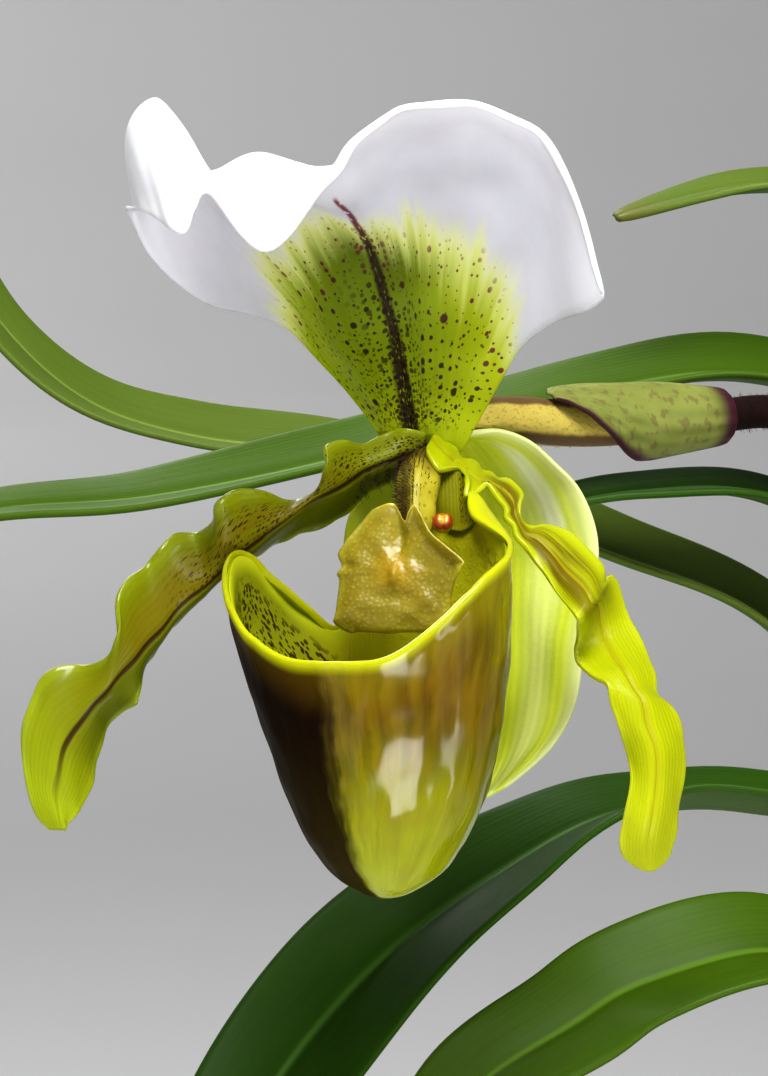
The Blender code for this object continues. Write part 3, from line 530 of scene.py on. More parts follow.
# tones: the tissue's deep and light green, its margin's green, and the brown over it with its share of
# either half, where it starts and ends, the midrib's colour and weight, the stretch with spots, and how
# much the lower half is shaded
# hairs: name, count, where across and along, lengths and seed
petal = {"thickness": 0.7, "columns": 25, "groove": 0.4, "ripple": 0.22, "ripples": 96, "hairWidth": 0.075,
         "hairColour": (0.006, 0.003, 0.003)}
leftPetal = {"rows": 118, "tones": {
    "deep": (0.15, 0.17, 0.002), "light": (0.28, 0.31, 0.004), "margin": (0.34, 0.41, 0.008),
    "brown": (0.19, 0.135, 0.003), "upper": 0.75, "lower": 0.1, "from": (0.08, 0.3), "to": (0.6, 0.9),
    "midrib": (0.040, 0.012, 0.004), "midribWeight": 0.94, "spotsFrom": -0.1, "spotsTo": 0.5,
    "shaded": 0.75,
}, "hairs": [
    ("hairsUpper", 240, (0.50, 0.85), (0.0, 0.18), (0.3, 0.9), 11),
    ("hairsFoot", 70, (0.08, 0.52), (0.02, 0.15), (0.9, 2.3), 12),
    ("hairsEdge", 50, (0.9, 0.99), (0.2, 0.6), (0.4, 0.8), 13),
], "rails": [
    [(-0.5, 1.5, 1), (-2.5, 0.5, 1.5), (-4.5, 1, 1.5), (-6.5, 1, 0.5), (-9, 0, -0.5), (-11.5, -3, 0),
     (-13.5, -6, -1), (-13.5, -5, -3.5), (-14.5, -2, -6.5), (-17, 0, -8), (-19.5, -2, -7.5),
     (-22, -5, -6.5), (-25, -7.5, -6.5), (-27.5, -8, -8), (-28, -5.5, -10.5), (-30, -2.5, -12),
     (-33, -3.5, -12), (-35, -5, -14), (-37, -6, -16.5), (-39, -8.5, -18), (-40, -10.5, -21),
     (-40, -10, -25), (-41.5, -8, -28), (-44, -6, -29), (-47, -5.5, -29), (-50, -6, -30.5),
     (-51.5, -7, -34), (-52.5, -7.5, -38), (-52, -8.5, -43), (-50.5, -9, -48), (-48.5, -9.5, -50)],
    [(-1, 1, -2), (-3.5, 0, -2), (-4.5, -0.5, -2.5), (-6, -1, -3), (-8.5, -1.5, -4), (-10, -2, -5),
     (-11.5, -2.5, -6), (-13.5, -3, -7), (-15.5, -3, -8), (-17.5, -3.5, -9.5), (-19.5, -4, -11),
     (-21.5, -4, -12.5), (-23.5, -4.5, -14), (-25.5, -5, -15.5), (-27.5, -5.5, -17.5), (-29, -6, -19),
     (-31, -6.5, -20.5), (-33, -6.5, -22.5), (-34.5, -7, -24.5), (-36.5, -7.5, -26.5), (-38, -8, -28.5),
     (-40, -8, -30.5), (-41.5, -8, -32.5), (-43, -8, -34), (-44.5, -8, -36), (-46, -8.5, -38),
     (-47, -9, -40), (-47.5, -9.5, -43), (-48, -9.5, -45.5), (-47.5, -10, -48), (-47, -10, -50)],
    [(-1.5, 1.5, -5), (-4, 1, -4.5), (-5.5, 1.5, -5.5), (-7.5, 2, -6.5), (-10, 2, -8.5), (-11.5, 2, -10),
     (-13.5, 2, -11), (-16, 2, -12), (-18, 1.5, -12.5), (-20, 1, -13.5), (-22, 0.5, -14.5),
     (-23.5, 0, -15.5), (-25.5, 0, -17), (-27.5, 0, -18), (-29.5, -0.5, -20), (-31, -0.5, -21.5),
     (-33, -1, -23.5), (-34.5, -1.5, -25), (-36, -2.5, -27.5), (-37, -4, -29.5), (-37.5, -7, -32),
     (-37.5, -8.5, -34), (-39.5, -6.5, -35), (-41.5, -5, -37), (-42.5, -5, -39.5), (-43, -5.5, -42),
     (-43.5, -6.5, -44.5), (-44.5, -8, -47), (-45.5, -9, -48.5), (-46.5, -9.5, -49.5), (-46.5, -10, -50)],
]}
rightPetal = {"rows": 128, "tones": {
    "deep": (0.31, 0.35, 0.001), "light": (0.46, 0.51, 0.003), "margin": (0.48, 0.53, 0.010),
    "brown": (0.12, 0.085, 0.001), "upper": 0.98, "lower": 0.9, "from": (0.16, 0.28), "to": (0.48, 0.70),
    "midrib": (0.30, 0.16, 0.008), "midribWeight": 0.3, "spotsFrom": 0.5, "spotsTo": 0.3,
    "shaded": 0.0,
}, "hairs": [("hairsRight", 40, (0.3, 0.98), (0.10, 0.30), (0.4, 0.8), 22)], "rails": [
    [(0.5, 2, 1), (1.5, 2, 0), (2.5, 2, -0.5), (3.5, 2, -1.5), (4.5, 2, -2.5), (6, 1, -3), (7, 1, -4),
     (8, 0, -4.5), (9, -0.5, -5), (10.5, -2, -5.5), (12, -4, -7), (11.5, -7, -9), (11.5, -8, -10.5),
     (13, -7, -11.5), (15, -6, -11), (17.5, -7, -12), (20, -9.5, -14), (21.5, -11.5, -16), (22, -12, -18),
     (23, -9.5, -17.5), (24.5, -9, -20.5), (25.5, -10, -23.5), (27, -12.5, -26.5), (28, -15.5, -29.5),
     (28, -17.5, -32), (29.5, -18.5, -33.5), (31, -19, -36), (31.5, -19.5, -39.5), (31, -20.5, -43.5),
     (30.5, -21, -47), (30, -21, -50), (29.5, -21, -52), (28, -21.5, -53.5)],
    [(0, 0, 0), (1, -1, -1), (2, -2, -2), (3, -1.5, -3), (4, -2, -3.5), (5, -3, -4.5), (6, -3.5, -5.5),
     (7, -3.5, -5.5), (8, -4, -6), (9.5, -5, -7), (10.5, -6.5, -8.5), (10.5, -8, -9.5), (11, -9, -11),
     (12, -9.5, -12.5), (13.5, -10, -13), (15.5, -11.5, -15), (17, -14, -17), (19, -16.5, -19),
     (20, -18, -21), (21, -14, -21), (21.5, -12.5, -23.5), (22, -13.5, -26), (23, -16.5, -28),
     (24, -19.5, -29.5), (25, -21, -31.5), (26, -22, -33), (26.5, -23, -36), (27.5, -24, -39),
     (27.5, -24.5, -43), (27, -25, -47), (26.5, -24.5, -50), (26.5, -23, -52.5), (27, -22, -54)],
    [(-0.5, -2, -1), (-0.5, -4, -2), (1, -5.5, -4), (2.5, -4, -4), (4, -3, -4), (4.5, -7, -5.5),
     (4.5, -8.5, -7.5), (6.5, -6.5, -6.5), (7.5, -6, -6), (9, -8, -8.5), (9.5, -9.5, -9.5),
     (9.5, -10.5, -10.5), (10.5, -11, -11.5), (11, -11.5, -13), (12.5, -12, -15), (14, -13, -17),
     (15.5, -15, -19.5), (17, -17.5, -21.5), (18, -20, -23), (18.5, -15, -24.5), (18, -14, -26.5),
     (18, -15, -28), (18.5, -17.5, -29), (20, -20, -30), (21.5, -21.5, -31), (22, -22, -33.5),
     (23, -22, -36), (24, -22, -39.5), (24.5, -23, -43), (23.5, -24, -47), (23, -23.5, -50),
     (23.5, -23, -52), (25.5, -22, -53.5)],
]}
# the right blade's shaded inner face beside the column; its tones, darker and greyer than the blade's, are
# partly its own olive colour and partly painted shade
petalFold = {"rows": 26, "columns": 26, "tones": {
    "deep": (0.17, 0.17, 0.003), "light": (0.30, 0.30, 0.006), "margin": (0.30, 0.30, 0.006),
    "brown": (0.06, 0.05, 0.003), "upper": 0.25, "lower": 0.25, "from": (-0.2, 0.0), "to": (0.6, 1.0),
    "midrib": (0.10, 0.06, 0.004), "midribWeight": 0.0, "spotsFrom": -0.1, "spotsTo": 0.9,
    "shaded": 0.0,
}, "hairs": [("hairsFold", 240, (0.05, 0.98), (0.02, 0.95), (0.3, 0.8), 21)], "rails": [
    [(-0.5, -0.5, -2), (-0.6, -2, -6), (0.3, -3.5, -9.8)], [(1.5, -1.5, -3), (1.5, -4, -8), (2, -5, -11.5)],
    [(3.5, -2.5, -4), (3.8, -5.5, -8.7), (4, -7, -12)], [(4.8, -4, -5), (5.4, -7, -8.5), (5.6, -8, -11)],
    [(5.6, -5.5, -6.5), (6.4, -8, -8), (6.6, -9, -9)],
]}


def petalLook(name, tones):
    look = Look(name, coatRoughness=0.12, specularIorLevel=0.1)
    across, along = look.surface()
    width, run = look.surface("size")
    streaks = look.stretched(across * 18, along * 3, 3.0)
    mottle = look.stretched(across * 5, along * 14, 3.0)
    tissue = look.mix(streaks * 0.5 + mottle * 0.5, tones["deep"], tones["light"])
    stretch = look.step(along, *tones["from"]) * look.fade(along, *tones["to"])
    half = look.step(across, 0.46, 0.56) * tones["upper"] + look.fade(across, 0.42, 0.5) * tones["lower"]
    cloud = look.step(streaks * 0.6 + mottle * 0.4, 0.28, 0.56)
    inside = look.fade(look.fromMiddle(across), 0.22, 0.42)
    tissue = look.mix(stretch * half * cloud * inside, tissue, tones["brown"])
    tissue = look.mix(look.step(along, 0.80, 0.97) * 0.8, tissue, tones["margin"])
    # painted shade: the lower half darker, up to near the tip, by the tones' shaded weight
    lower = look.fade(across, 0.40, 0.5) * look.fade(along, 0.72, 0.92)
    tissue = look.mix(lower * tones["shaded"], tissue, (0.070, 0.088, 0.001))
    edge = look.step(look.fromMiddle(across), 0.36, 0.48)
    tissue = look.mix(edge * 0.5, tissue, tones["margin"])
    fromMidrib = look.maths("ABSOLUTE", across - 0.5 + (mottle - 0.5) * 0.01) * width
    midrib = look.fade(fromMidrib, 0.0025, 0.0085) * look.fade(along, 0.84, 0.97)
    tissue = look.mix(midrib * tones["midribWeight"], tissue, tones["midrib"])
    shown = look.fade(along, tones["spotsTo"], tones["spotsTo"] + 0.12)
    shown = shown * look.step(along, tones["spotsFrom"], tones["spotsFrom"] + 0.04)
    shown = shown * look.step(across, 0.50, 0.54) * look.fade(across, 0.80, 0.90)
    dots = look.spotRows(across, width, run, 17, 0.010, 0.0010, 0.0032, 0.72, 5)
    smaller = look.spotRows(across, width, run, 25, 0.008, 0.0008, 0.0022, 0.6, 6)
    spots = look.larger(dots, smaller) * shown
    tissue = look.mix(spots * 0.9, tissue, (0.035, 0.012, 0.003))
    veins = look.ridges(across, 19, mottle * 1.5)
    tissue = look.mix(veins * 0.05, tissue, tones["midrib"])
    cells = look.noise(look.place(), 1100.0, 2.0)
    bumps = look.bump(veins * 0.2 + cells * 0.35 + spots * 0.2, 0.0003, 0.35)
    coat = edge * 0.7 + 0.06
    return look.finish(tissue, 0.34 + cells * 0.14 + mottle * 0.06, bumps, **{"Coat Weight": coat})


def petalGrid(sizes):
    grid = railGrid(sizes["rails"], sizes["rows"], petal["columns"])
    if sizes is leftPetal:
        grid = grid[:, ::-1]
    across, along = shares(grid)
    ends = np.clip(np.minimum(along, 1 - along) * 12, 0, 1)
    lift = -petal["groove"] * hill(across, 0.5, 0.04) * ends
    edge = np.clip(abs(across - 0.5) * 5 - 1.5, 0, 1)
    lift = lift + petal["ripple"] * edge * ends * np.sin(along * petal["ripples"] + across * 5)
    return raised(grid, lift)


def makeBlade(name, grid, tones):
    piece = surfacePiece(name, toRow(grid))
    thicken(piece, petal["thickness"], petalLook(name + "Tissue", tones))
    return piece


def blackHairs(grid, patches):
    grid, dark = toRow(grid), petal["hairColour"]
    made = []
    for name, count, across, along, lengths, seed in patches:
        roots, normals, way = scatter(grid, count, across, along, seed)
        draw = np.random.default_rng(seed + 1)
        leans = normals + 0.25 * way + np.array([0, 0, -0.6]) + draw.normal(0, 0.22, roots.shape)
        look = hairLook(name + "Look", 0.4, 60.0, dark, tuple(part * 2.2 for part in dark))
        made.append(hairPiece(name, roots, leans, lengths, petal["hairWidth"], look, draw))
    return made


def makePetals():
    left = petalGrid(leftPetal)
    piece = makeBlade("petalLeft", left, leftPetal["tones"])
    joinTo(piece, *blackHairs(left, leftPetal["hairs"]))
    finishPiece(piece, "petal", "petal_left")

    right = petalGrid(rightPetal)
    piece = makeBlade("petalRight", right, rightPetal["tones"])
    inner = railGrid(petalFold["rails"], petalFold["rows"], petalFold["columns"])
    fold = makeBlade("petalFold", inner, petalFold["tones"])
    joinTo(piece, fold, *blackHairs(inner, petalFold["hairs"]), *blackHairs(right, rightPetal["hairs"]))
    finishPiece(piece, "petal", "petal_right")


# Synsepal

synsepal = {"thickness": 0.8, "rows": 64, "columns": 33, "dimples": 0.35, "waves": (19, 21), "rails": [
    [(5, 4, 1), (9.5, 6.5, 1.5), (13.5, 8, 0), (17, 9.5, -3), (20, 10, -6), (22, 9.5, -10.5),
     (22.5, 8, -15), (21.5, 6, -20), (20.5, 4.5, -25), (20, 3, -30), (19, 1.5, -34.5), (17, 0.5, -38.5),
     (14, 0, -42), (10, -1, -45)],
    [(1, 6, 0), (2, 11, -1), (3, 16, -3.5), (4.5, 20, -7), (5, 21, -11), (5.5, 20, -16), (5.5, 18, -21),
     (5.5, 15, -26.5), (5.5, 12, -31), (5.5, 9, -35.5), (5.5, 6, -39), (5.5, 3.5, -42), (5, 1, -45),
     (5, -1, -47.5)],
    [(-2, 4, -1), (-4.5, 8, -2.5), (-7.5, 11, -5), (-9.5, 12.5, -7.5), (-11, 13, -10.5),
     (-11.5, 12.5, -14.5), (-11.5, 11.5, -19), (-11.5, 10, -23.5), (-11, 8, -28.5), (-9.5, 6, -33.5),
     (-7.5, 4, -38), (-4.5, 2, -42.5), (-1, 0.5, -45.5), (3, -1, -47.5)],
]}


def synsepalLook(name, back=False):
    look = Look(name, coatWeight=0.1, coatRoughness=0.3, specularIorLevel=0.2)
    across, along = look.surface()
    mottle = look.stretched(across * 7, along * 5, 3.0)
    stripes = look.ridges(across, 9, mottle * 3.0 + 0.8)
    fine = look.ridges(across, 26, mottle * 4.0)
    tissue = look.mix(stripes * 0.4 + fine * 0.15, (0.53, 0.62, 0.014), (0.70, 0.76, 0.06))
    tissue = look.mix(look.fade(along, 0.1, 0.42) * 0.6, tissue, (0.62, 0.68, 0.05))
    # painted shade: the sheet darker from its middle towards its left edge
    tissue = look.mix(look.step(across, 0.40, 0.70) * 0.75, tissue, (0.20, 0.23, 0.004))
    # painted light: a paler band beside the right rim below the shoulder; the rim itself is paler in its
    # own colour
    lit = look.band(across, 0.2, 0.0, 0.12) * look.step(along, 0.12, 0.3) * 0.4
    rim = look.fade(across + (mottle - 0.5) * 0.05, 0.0, 0.10)
    tissue = look.mix(look.larger(rim * 0.75, lit), tissue, (0.78, 0.82, 0.42))
    # painted highlight: a pale streak along the shoulder's curve near the right rim
    paintedHighlight = look.band(across + (mottle - 0.5) * 0.04, 0.13, 0.01, 0.06)
    paintedHighlight = paintedHighlight * look.band(along, 0.30, 0.08, 0.26)
    tissue = look.mix(paintedHighlight * 0.85, tissue, (0.90, 0.92, 0.66))
    if back:
        tissue = look.mix(0.35, tissue, (0.35, 0.45, 0.08))
    cells = look.noise(look.place(), 1000.0, 2.0)
    bumps = look.bump(stripes * 0.5 + fine * 0.2 + cells * 0.3, 0.0004, 0.4)
    return look.finish(tissue, 0.4 + cells * 0.12, bumps)


def makeSynsepal():
    grid = railGrid(synsepal["rails"], synsepal["rows"], synsepal["columns"])
    across, along = shares(grid)
    wide, long = synsepal["waves"]
    lift = synsepal["dimples"] * np.sin(across * wide) * np.sin(along * long + across * 3)
    lift = lift * np.clip(np.minimum(along, 1 - along) * 8, 0, 1)
    piece = surfacePiece("synsepalSheet", toRow(raised(grid, lift)))
    thicken(piece, synsepal["thickness"], synsepalLook("synsepalFront"),
            synsepalLook("synsepalBack", back=True))
    finishPiece(piece, "synsepal", "synsepal")


# Pouch

# levels: height, middle x and y, half width and half depth, from the toe up
# rim: turn from the front and height; lobes: turn, spread and reach of what folds in over the opening
pouch = {"thickness": 1.0, "sides": 108, "rows": 54, "turn": -24.8, "lean": 3.2, "leanFrom": -24,
         "leanRise": 14, "flare": 0.7, "flareFall": 1.6, "crowding": 1.5, "ribs": 0.22, "dimples": 0.20,
         "folds": 7, "foldBend": 2.2, "lobes": [(134, 16, 4.5), (236, 15, 2.2)],
         "levels": [(-57.2, -5.6, -19.5, 0.3, 0.4), (-56.9, -5.6, -19.4, 1.8, 2.0),
                    (-56.4, -5.6, -19.4, 2.9, 3.2), (-54.8, -5.6, -19.2, 5.4, 6.1),
                    (-51, -5.6, -19, 8.7, 9.6), (-45, -5.7, -18.6, 11.9, 12), (-38, -6.1, -18, 14.2, 13.4),
                    (-30, -6.9, -17.2, 16.4, 14), (-22, -7.8, -16.4, 18, 13.9), (-15, -8.1, -16.2, 18, 13),
                    (-8, -7.6, -15, 16.6, 12.4), (0, -6, -14, 14, 12)],
         "rim": [(0, -28.3), (28, -27.4), (50, -22.8), (72, -17.8), (95, -15.2), (118, -12.6), (138, -10),
                 (148, -7.6), (158, -8.4), (172, -7.8), (186, -7.6), (197, -11), (204, -18), (212, -23.6),
                 (230, -22.4), (246, -18.6), (258, -15.4), (268, -14.8), (282, -16.6), (300, -20.6),
                 (322, -25.2), (342, -27.8), (360, -28.3)]}


def pouchGrid():
    sides, rows = pouch["sides"], pouch["rows"]
    turn = np.linspace(0, 360, sides + 1)
    rimTurns, rimHeights = zip(*pouch["rim"])
    rim = eased(turn, rimTurns, rimHeights)[None, :]
    levels = np.array(pouch["levels"], float)
    share = (np.linspace(0, 1, rows) ** pouch["crowding"])[:, None]
    height = levels[0, 0] + (rim - levels[0, 0]) * share
    x, y, halfWidth, halfDepth = (eased(height, levels[:, 0], levels[:, column]) for column in range(1, 5))
    angle = math.radians(pouch["turn"])
    forward = np.array([math.sin(angle), -math.cos(angle)])
    right = np.array([math.cos(angle), math.sin(angle)])
    cosine, sine = np.cos(np.radians(turn))[None, :], np.sin(np.radians(turn))[None, :]
    behind = np.maximum(0, -cosine)
    lean = pouch["lean"] * behind * np.clip((height - pouch["leanFrom"]) / pouch["leanRise"], 0, 1)
    drop = rim - height
    flare = pouch["flare"] * np.exp(-drop / pouch["flareFall"]) * np.clip(1.2 - behind * 2, 0, 1)
    deep, wide = (halfDepth + flare) * cosine - lean, (halfWidth + flare) * sine
    x, y = x + deep * forward[0] + wide * right[0], y + deep * forward[1] + wide * right[1]
    place = np.stack([x, y, height], axis=-1)
    # shallow uneven ribs, so that a light breaks up in the glossy wall
    lift = pouch["ribs"] * dimples(place * (1, 1, 0.25), 2.0) + pouch["dimples"] * dimples(place, 3.5)
    place = raised(place, lift * np.clip(np.linspace(0, 6, rows), 0, 1)[:, None])
    place[:, -1] = place[:, 0]
    return place, drop, turn


def pouchLook(name, inner=False):
    look = Look(name, coatRoughness=0.14, coatIor=1.45, specularIorLevel=0.04)
    around, up = look.surface()
    _, drop = look.surface("size")
    mottle = look.stretched(around * 16, up * 7, 3.0)
    veins = look.stretched(around * 70 + mottle * 2.0, up * 4, 2.0)
    fine = look.noise(look.place(), 900.0, 2.0)
    _, _, height = look.split(look.place())
    if inner:
        tissue = look.mix(mottle, (0.42, 0.40, 0.006), (0.58, 0.57, 0.02))
        tissue = look.mix(look.band(around, 0.76, 0.10, 0.16) * 0.8, tissue, (0.22, 0.25, 0.008))
        # painted light: the inner right wall made brighter, as if lit
        tissue = look.mix(look.band(around, 0.30, 0.05, 0.14), tissue, (0.74, 0.74, 0.02))
        cells = look.cells(look.vector(around * 170, drop * 140), 1.0)
        size = look.stretched(around * 80, drop * 66, 1.0) * 0.82
        spots = look.fade(cells - size, -0.04, 0.08) * look.step(drop, 0.02, 0.05)
        left, right = look.band(around, 0.76, 0.13, 0.18), look.band(around, 0.26, 0.10, 0.16)
        tissue = look.mix(spots * look.larger(left, right * 0.5) * 0.92, tissue, (0.030, 0.010, 0.006))
        tissue = look.mix(look.fade(drop, 0.006, 0.03), tissue, (0.50, 0.55, 0.015))
        return look.finish(tissue, 0.35 + mottle * 0.2, look.bump(mottle + spots * 0.4, 0.0004, 0.4))
    # yellow-green at the toe and up the right side, brown above, darkest round the left side: partly its
    # own deep brown, partly painted shade
    front = look.maths("FRACT", around + 0.45)
    wobble = (mottle - 0.5) * 0.03 + (veins - 0.5) * 0.016
    # the dark left side, partly its own deep brown and partly painted shade
    dark = look.band(front + wobble * 1.6, 0.325, 0.104, 0.148)
    right = look.step(front + wobble - drop * 0.5 + 0.03, 0.58, 0.78)
    low = look.fade(height + (mottle - 0.5) * 0.012 - right * 0.016, 0.250, 0.280)
    low = look.larger(low, right * 0.55)
    brown = look.step(veins * 0.4 + mottle * 0.6, 0.32, 0.66)
    brown = look.mix(brown, (0.066, 0.028, 0.001), (0.185, 0.112, 0.003))
    olive = look.mix(veins, (0.32, 0.34, 0.002), (0.46, 0.52, 0.004))
    tissue = look.mix(low, brown, olive)
    # the near-black colour of the dark side, partly painted shade
    deep = look.mix(low * 0.8, (0.008, 0.002, 0.001), (0.036, 0.022, 0.001))
    tissue = look.mix(dark * 0.985, tissue, deep)
    rear = look.band(around, 0.5, 0.10, 0.20)
    tissue = look.mix(rear * 0.85, tissue, look.mix(mottle, (0.32, 0.36, 0.012), (0.46, 0.50, 0.02)))
    rim = look.fade(drop + (mottle - 0.5) * 0.03, 0.006, 0.070)
    # the rim's tone darker on the dark side, so it carries the painted shade too
    rimTone = look.mix(dark, (0.26, 0.22, 0.002), (0.15, 0.085, 0.001))
    tissue = look.mix(rim * (0.5 + right * 0.3), tissue, rimTone)
    crest = look.fade(drop + (mottle - 0.5) * 0.008, -0.004, 0.014)
    tissue = look.mix(crest, tissue, look.mix(mottle, (0.48, 0.50, 0.004), (0.58, 0.60, 0.008)))
    bumps = look.bump(veins * 0.8 + mottle * 0.5 + fine * 0.12, 0.0005, 0.4)
    coat = 0.9 - dark * 0.86
    return look.finish(tissue, 0.24 + mottle * 0.12 + dark * 0.3, bumps, **{"Coat Weight": coat})


def makePouch():
    grid, drop, turn = pouchGrid()
    folds, mostBend = pouch["folds"], pouch["foldBend"]
    reach = sum(hill(turn, *lobe[:2]) * lobe[2] for lobe in pouch["lobes"])
    radius = np.maximum(reach, 0.25)[:, None] / mostBend
    centre = grid[-1].mean(axis=0)
    inward = centre - grid[-1]
    inward[:, 2] = 0
    inward /= np.linalg.norm(inward, axis=1, keepdims=True)
    rows = [grid]
    for bend in np.arange(1, folds + 1) / folds * mostBend:
        up = np.array([0, 0, 1.0]) * math.sin(bend) * radius * 0.5
        rows.append((grid[-1] + (inward * (1 - math.cos(bend)) * radius + up))[None])
    points = np.concatenate(rows)
    fallen = np.concatenate([drop] + [np.zeros((1, len(turn)))] * folds)
    sizes = np.stack([np.repeat(turn[None] / 360, len(points), axis=0), fallen * mm], axis=-1)
    points[0] = points[0].mean(axis=0)
    piece = surfacePiece("pouchShell", toRow(points), closed=True, sizes=sizes)
    thicken(piece, pouch["thickness"], pouchLook("pouchOutside"), pouchLook("pouchInside", inner=True))
    finishPiece(piece, "pouch", "pouch")


# Staminode

# the outline's points are x and z from the middle
staminode = {"centre": (-4.4, -13.6, -17.4), "turn": (-14, -16), "thickness": 1.2, "rings": 26, "sides": 88,
             "umbo": 0.8, "hollow": 0.3, "cup": 0.9, "keel": 1.0, "lift": 2.6, "lumps": 0.30, "warts": 0.05,
             "edge": [(-0.6, 9), (-1.6, 9), (-4.2, 8.2), (-6.1, 6), (-7.9, 3.5), (-8.1, 2.5), (-7.5, 1.2),
                      (-8.1, 0.2), (-7.7, -0.8), (-7.9, -4.8), (-8.1, -6), (-7.2, -6.8), (-5.6, -7.5),
                      (-4.6, -7.3), (-1, -7.5), (2.4, -7.3), (5.4, -7.3), (7, -6.3), (7.5, -2.3), (9, 0.7),
                      (9, 1.5), (6.5, 3.5), (4.5, 5.2), (3, 7.8), (2, 8.7), (1, 6.7), (-0.1, 8.2),
                      (-0.6, 9)]}


def staminodeLook():
    look = Look("staminodeTissue", coatWeight=0.06, coatRoughness=0.1, specularIorLevel=0.6,
                subsurfaceWeight=0.15, subsurfaceScale=0.002)
    _, out = look.surface()
    place = look.place()
    mottle = look.noise(place, 210.0, 3.0)
    warts = 1 - look.cells(place, 1700.0)
    yellow = look.mix(mottle, (0.24, 0.185, 0.004), (0.34, 0.275, 0.010))
    # painted light: paler wart tops as painted glints, and a paler band from the front face's edge over the
    # back as painted edge light
    yellow = look.mix(look.step(warts, 0.55, 0.95) * 0.3, yellow, (0.62, 0.56, 0.10))
    yellow = look.mix(look.step(out, 0.40, 0.49) * 0.5, yellow, (0.62, 0.55, 0.05))
    orange = look.fade(out + (mottle - 0.5) * 0.14, 0.03, 0.24)
    tissue = look.mix(orange * 0.8, yellow, look.mix(mottle, (0.38, 0.21, 0.002), (0.46, 0.30, 0.006)))
    bumps = look.bump(warts * 0.5 + mottle * 0.25, 0.0002, 0.6)
    return look.finish(tissue, 0.30 + mottle * 0.14, bumps)


def makeStaminode():
    sides, rings = staminode["sides"], staminode["rings"]
    edge = smoothLine(staminode["edge"], sides + 1)
    share = np.linspace(0, 1, rings)[:, None]
    x, z = edge[None, :, 0] * share, edge[None, :, 1] * share
    # an umbo in the middle, a hollow round it and an edge that rises towards the upper right
    relief = -staminode["umbo"] * np.exp(-((x / 0.7) ** 2) - ((z / 1.6) ** 2))
    relief = relief + staminode["hollow"] * hill(np.hypot(x, z), 3.4, 1.6) + staminode["cup"] * share**3
    relief = relief + staminode["keel"] * hill(x, 0, 1.1) * np.clip(z / 5, 0, 1) - 0.3
    relief = relief - staminode["lift"] * share**6 * np.clip((x + z - 3) / 6, 0, 1)
    calm = np.minimum(1, np.arange(rings) / 4)[:, None]
    for height, often, level in ((staminode["lumps"] * calm, 0.5, 3), (staminode["warts"], 2.5, 9)):
        relief += height * dimples(np.stack([x * often, z * often, np.full(x.shape, level)], axis=-1))
    relief[:, -1] = relief[:, 0]
    relief[0] = relief[0, 0]
    half = staminode["thickness"] / 2 * np.sqrt(np.maximum(0, 1 - share**4)) + 0.02
    front, behind = (np.stack([x, relief + side * half, z], axis=-1) for side in (-1, 1))
    lean, turn = (math.radians(angle) for angle in staminode["turn"])
    pose = Matrix.Rotation(turn, 3, "Z") @ Matrix.Rotation(lean, 3, "X")
    points = np.concatenate([front, behind[::-1]]) @ np.array(pose).T + staminode["centre"]
    piece = closedPiece("staminodeShield", toRow(points), staminodeLook())
    finishPiece(piece, "staminode", "staminode")


# Column with its two anthers

column = {"line": [(0.6, 3, -2.4), (-0.2, 0.8, -3), (-1.1, -1.8, -4.2), (-1.5, -4.2, -6), (-1.7, -6, -8.4),
                   (-1.8, -7.2, -10.8), (-2.2, -7.6, -13.2)],
          "radii": [1.2, 2.2, 2.8, 2.8, 2.5, 2.4, 1.7],
          "anthers": [(1.5, -8.6, -10.8), (-4.5, -8.0, -11.2)],
          "antherRadius": 1.4, "antherCleft": (0.22, 0.3), "antherFlat": 0.85, "antherLean": 0.9,
          "rows": 44, "sides": 36, "wedge": 0.09, "seed": 31,
          "hairs": 620, "hairWidth": 0.06, "hairLengths": (0.5, 1.0), "tip": 0.3}


def columnLook():
    # yellow, dark and hairy at the top and in a wedge down the left of its front
    look = Look("columnTissue", coatWeight=0.15, coatRoughness=0.2, specularIorLevel=0.2)
    place = look.place()
    mottle = look.noise(place, 420.0, 3.0)
    around, up = look.surface()
    tissue = look.mix(mottle, (0.32, 0.27, 0.010), (0.50, 0.44, 0.03))
    crown = look.fade(up + (mottle - 0.5) * 0.1, 0.34, 0.56)
    wedge = look.band(around + (mottle - 0.5) * 0.12, column["wedge"], 0.02, 0.12)
    tissue = look.mix(look.larger(crown * 0.85, wedge * 0.75), tissue, (0.060, 0.034, 0.003))
    speckle = look.fade(look.cells(place, 900.0), 0.18, 0.3)
    tissue = look.mix(speckle * 0.5, tissue, (0.10, 0.03, 0.005))
    return look.finish(tissue, 0.4 + mottle * 0.2, look.bump(mottle, 0.0004, 0.5))


def antherLook():
    look = Look("antherTissue", coatWeight=0.25, coatRoughness=0.15)
    mottle = look.noise(look.place(), 500.0, 3.0)
    _, up = look.surface()
    red = look.band(up + (mottle - 0.5) * 0.15, 0.70, 0.06, 0.16)
    tissue = look.mix(mottle, (0.46, 0.26, 0.015), (0.62, 0.42, 0.04))
    tissue = look.mix(red, tissue, (0.34, 0.045, 0.010))
    return look.finish(tissue, 0.25 + mottle * 0.15, look.bump(mottle, 0.0003, 0.5))


def makeAnther(number, place, look):
    # a flattened ball with a cleft down its front
    bpy.ops.object.select_all(action="DESELECT")
    bpy.ops.mesh.primitive_uv_sphere_add(segments=28, ring_count=18, radius=column["antherRadius"] * mm)
    anther = bpy.context.object
    anther.name = "anther" + str(number)
    depth, width = column["antherCleft"]
    for point in anther.data.vertices:
        point.co.z *= column["antherFlat"]
        if point.co.z > 0:
            point.co *= 1 - depth * math.exp(-((point.co.x / (width * mm)) ** 2))
        point.co *= 1 + 0.06 * noise.noise(point.co * 1800)
    lean = Matrix.Rotation(column["antherLean"], 4, "X")
    anther.data.transform(Matrix.Translation(Vector(toRow(place))) @ lean)
    anther.data.materials.append(look)
    return anther


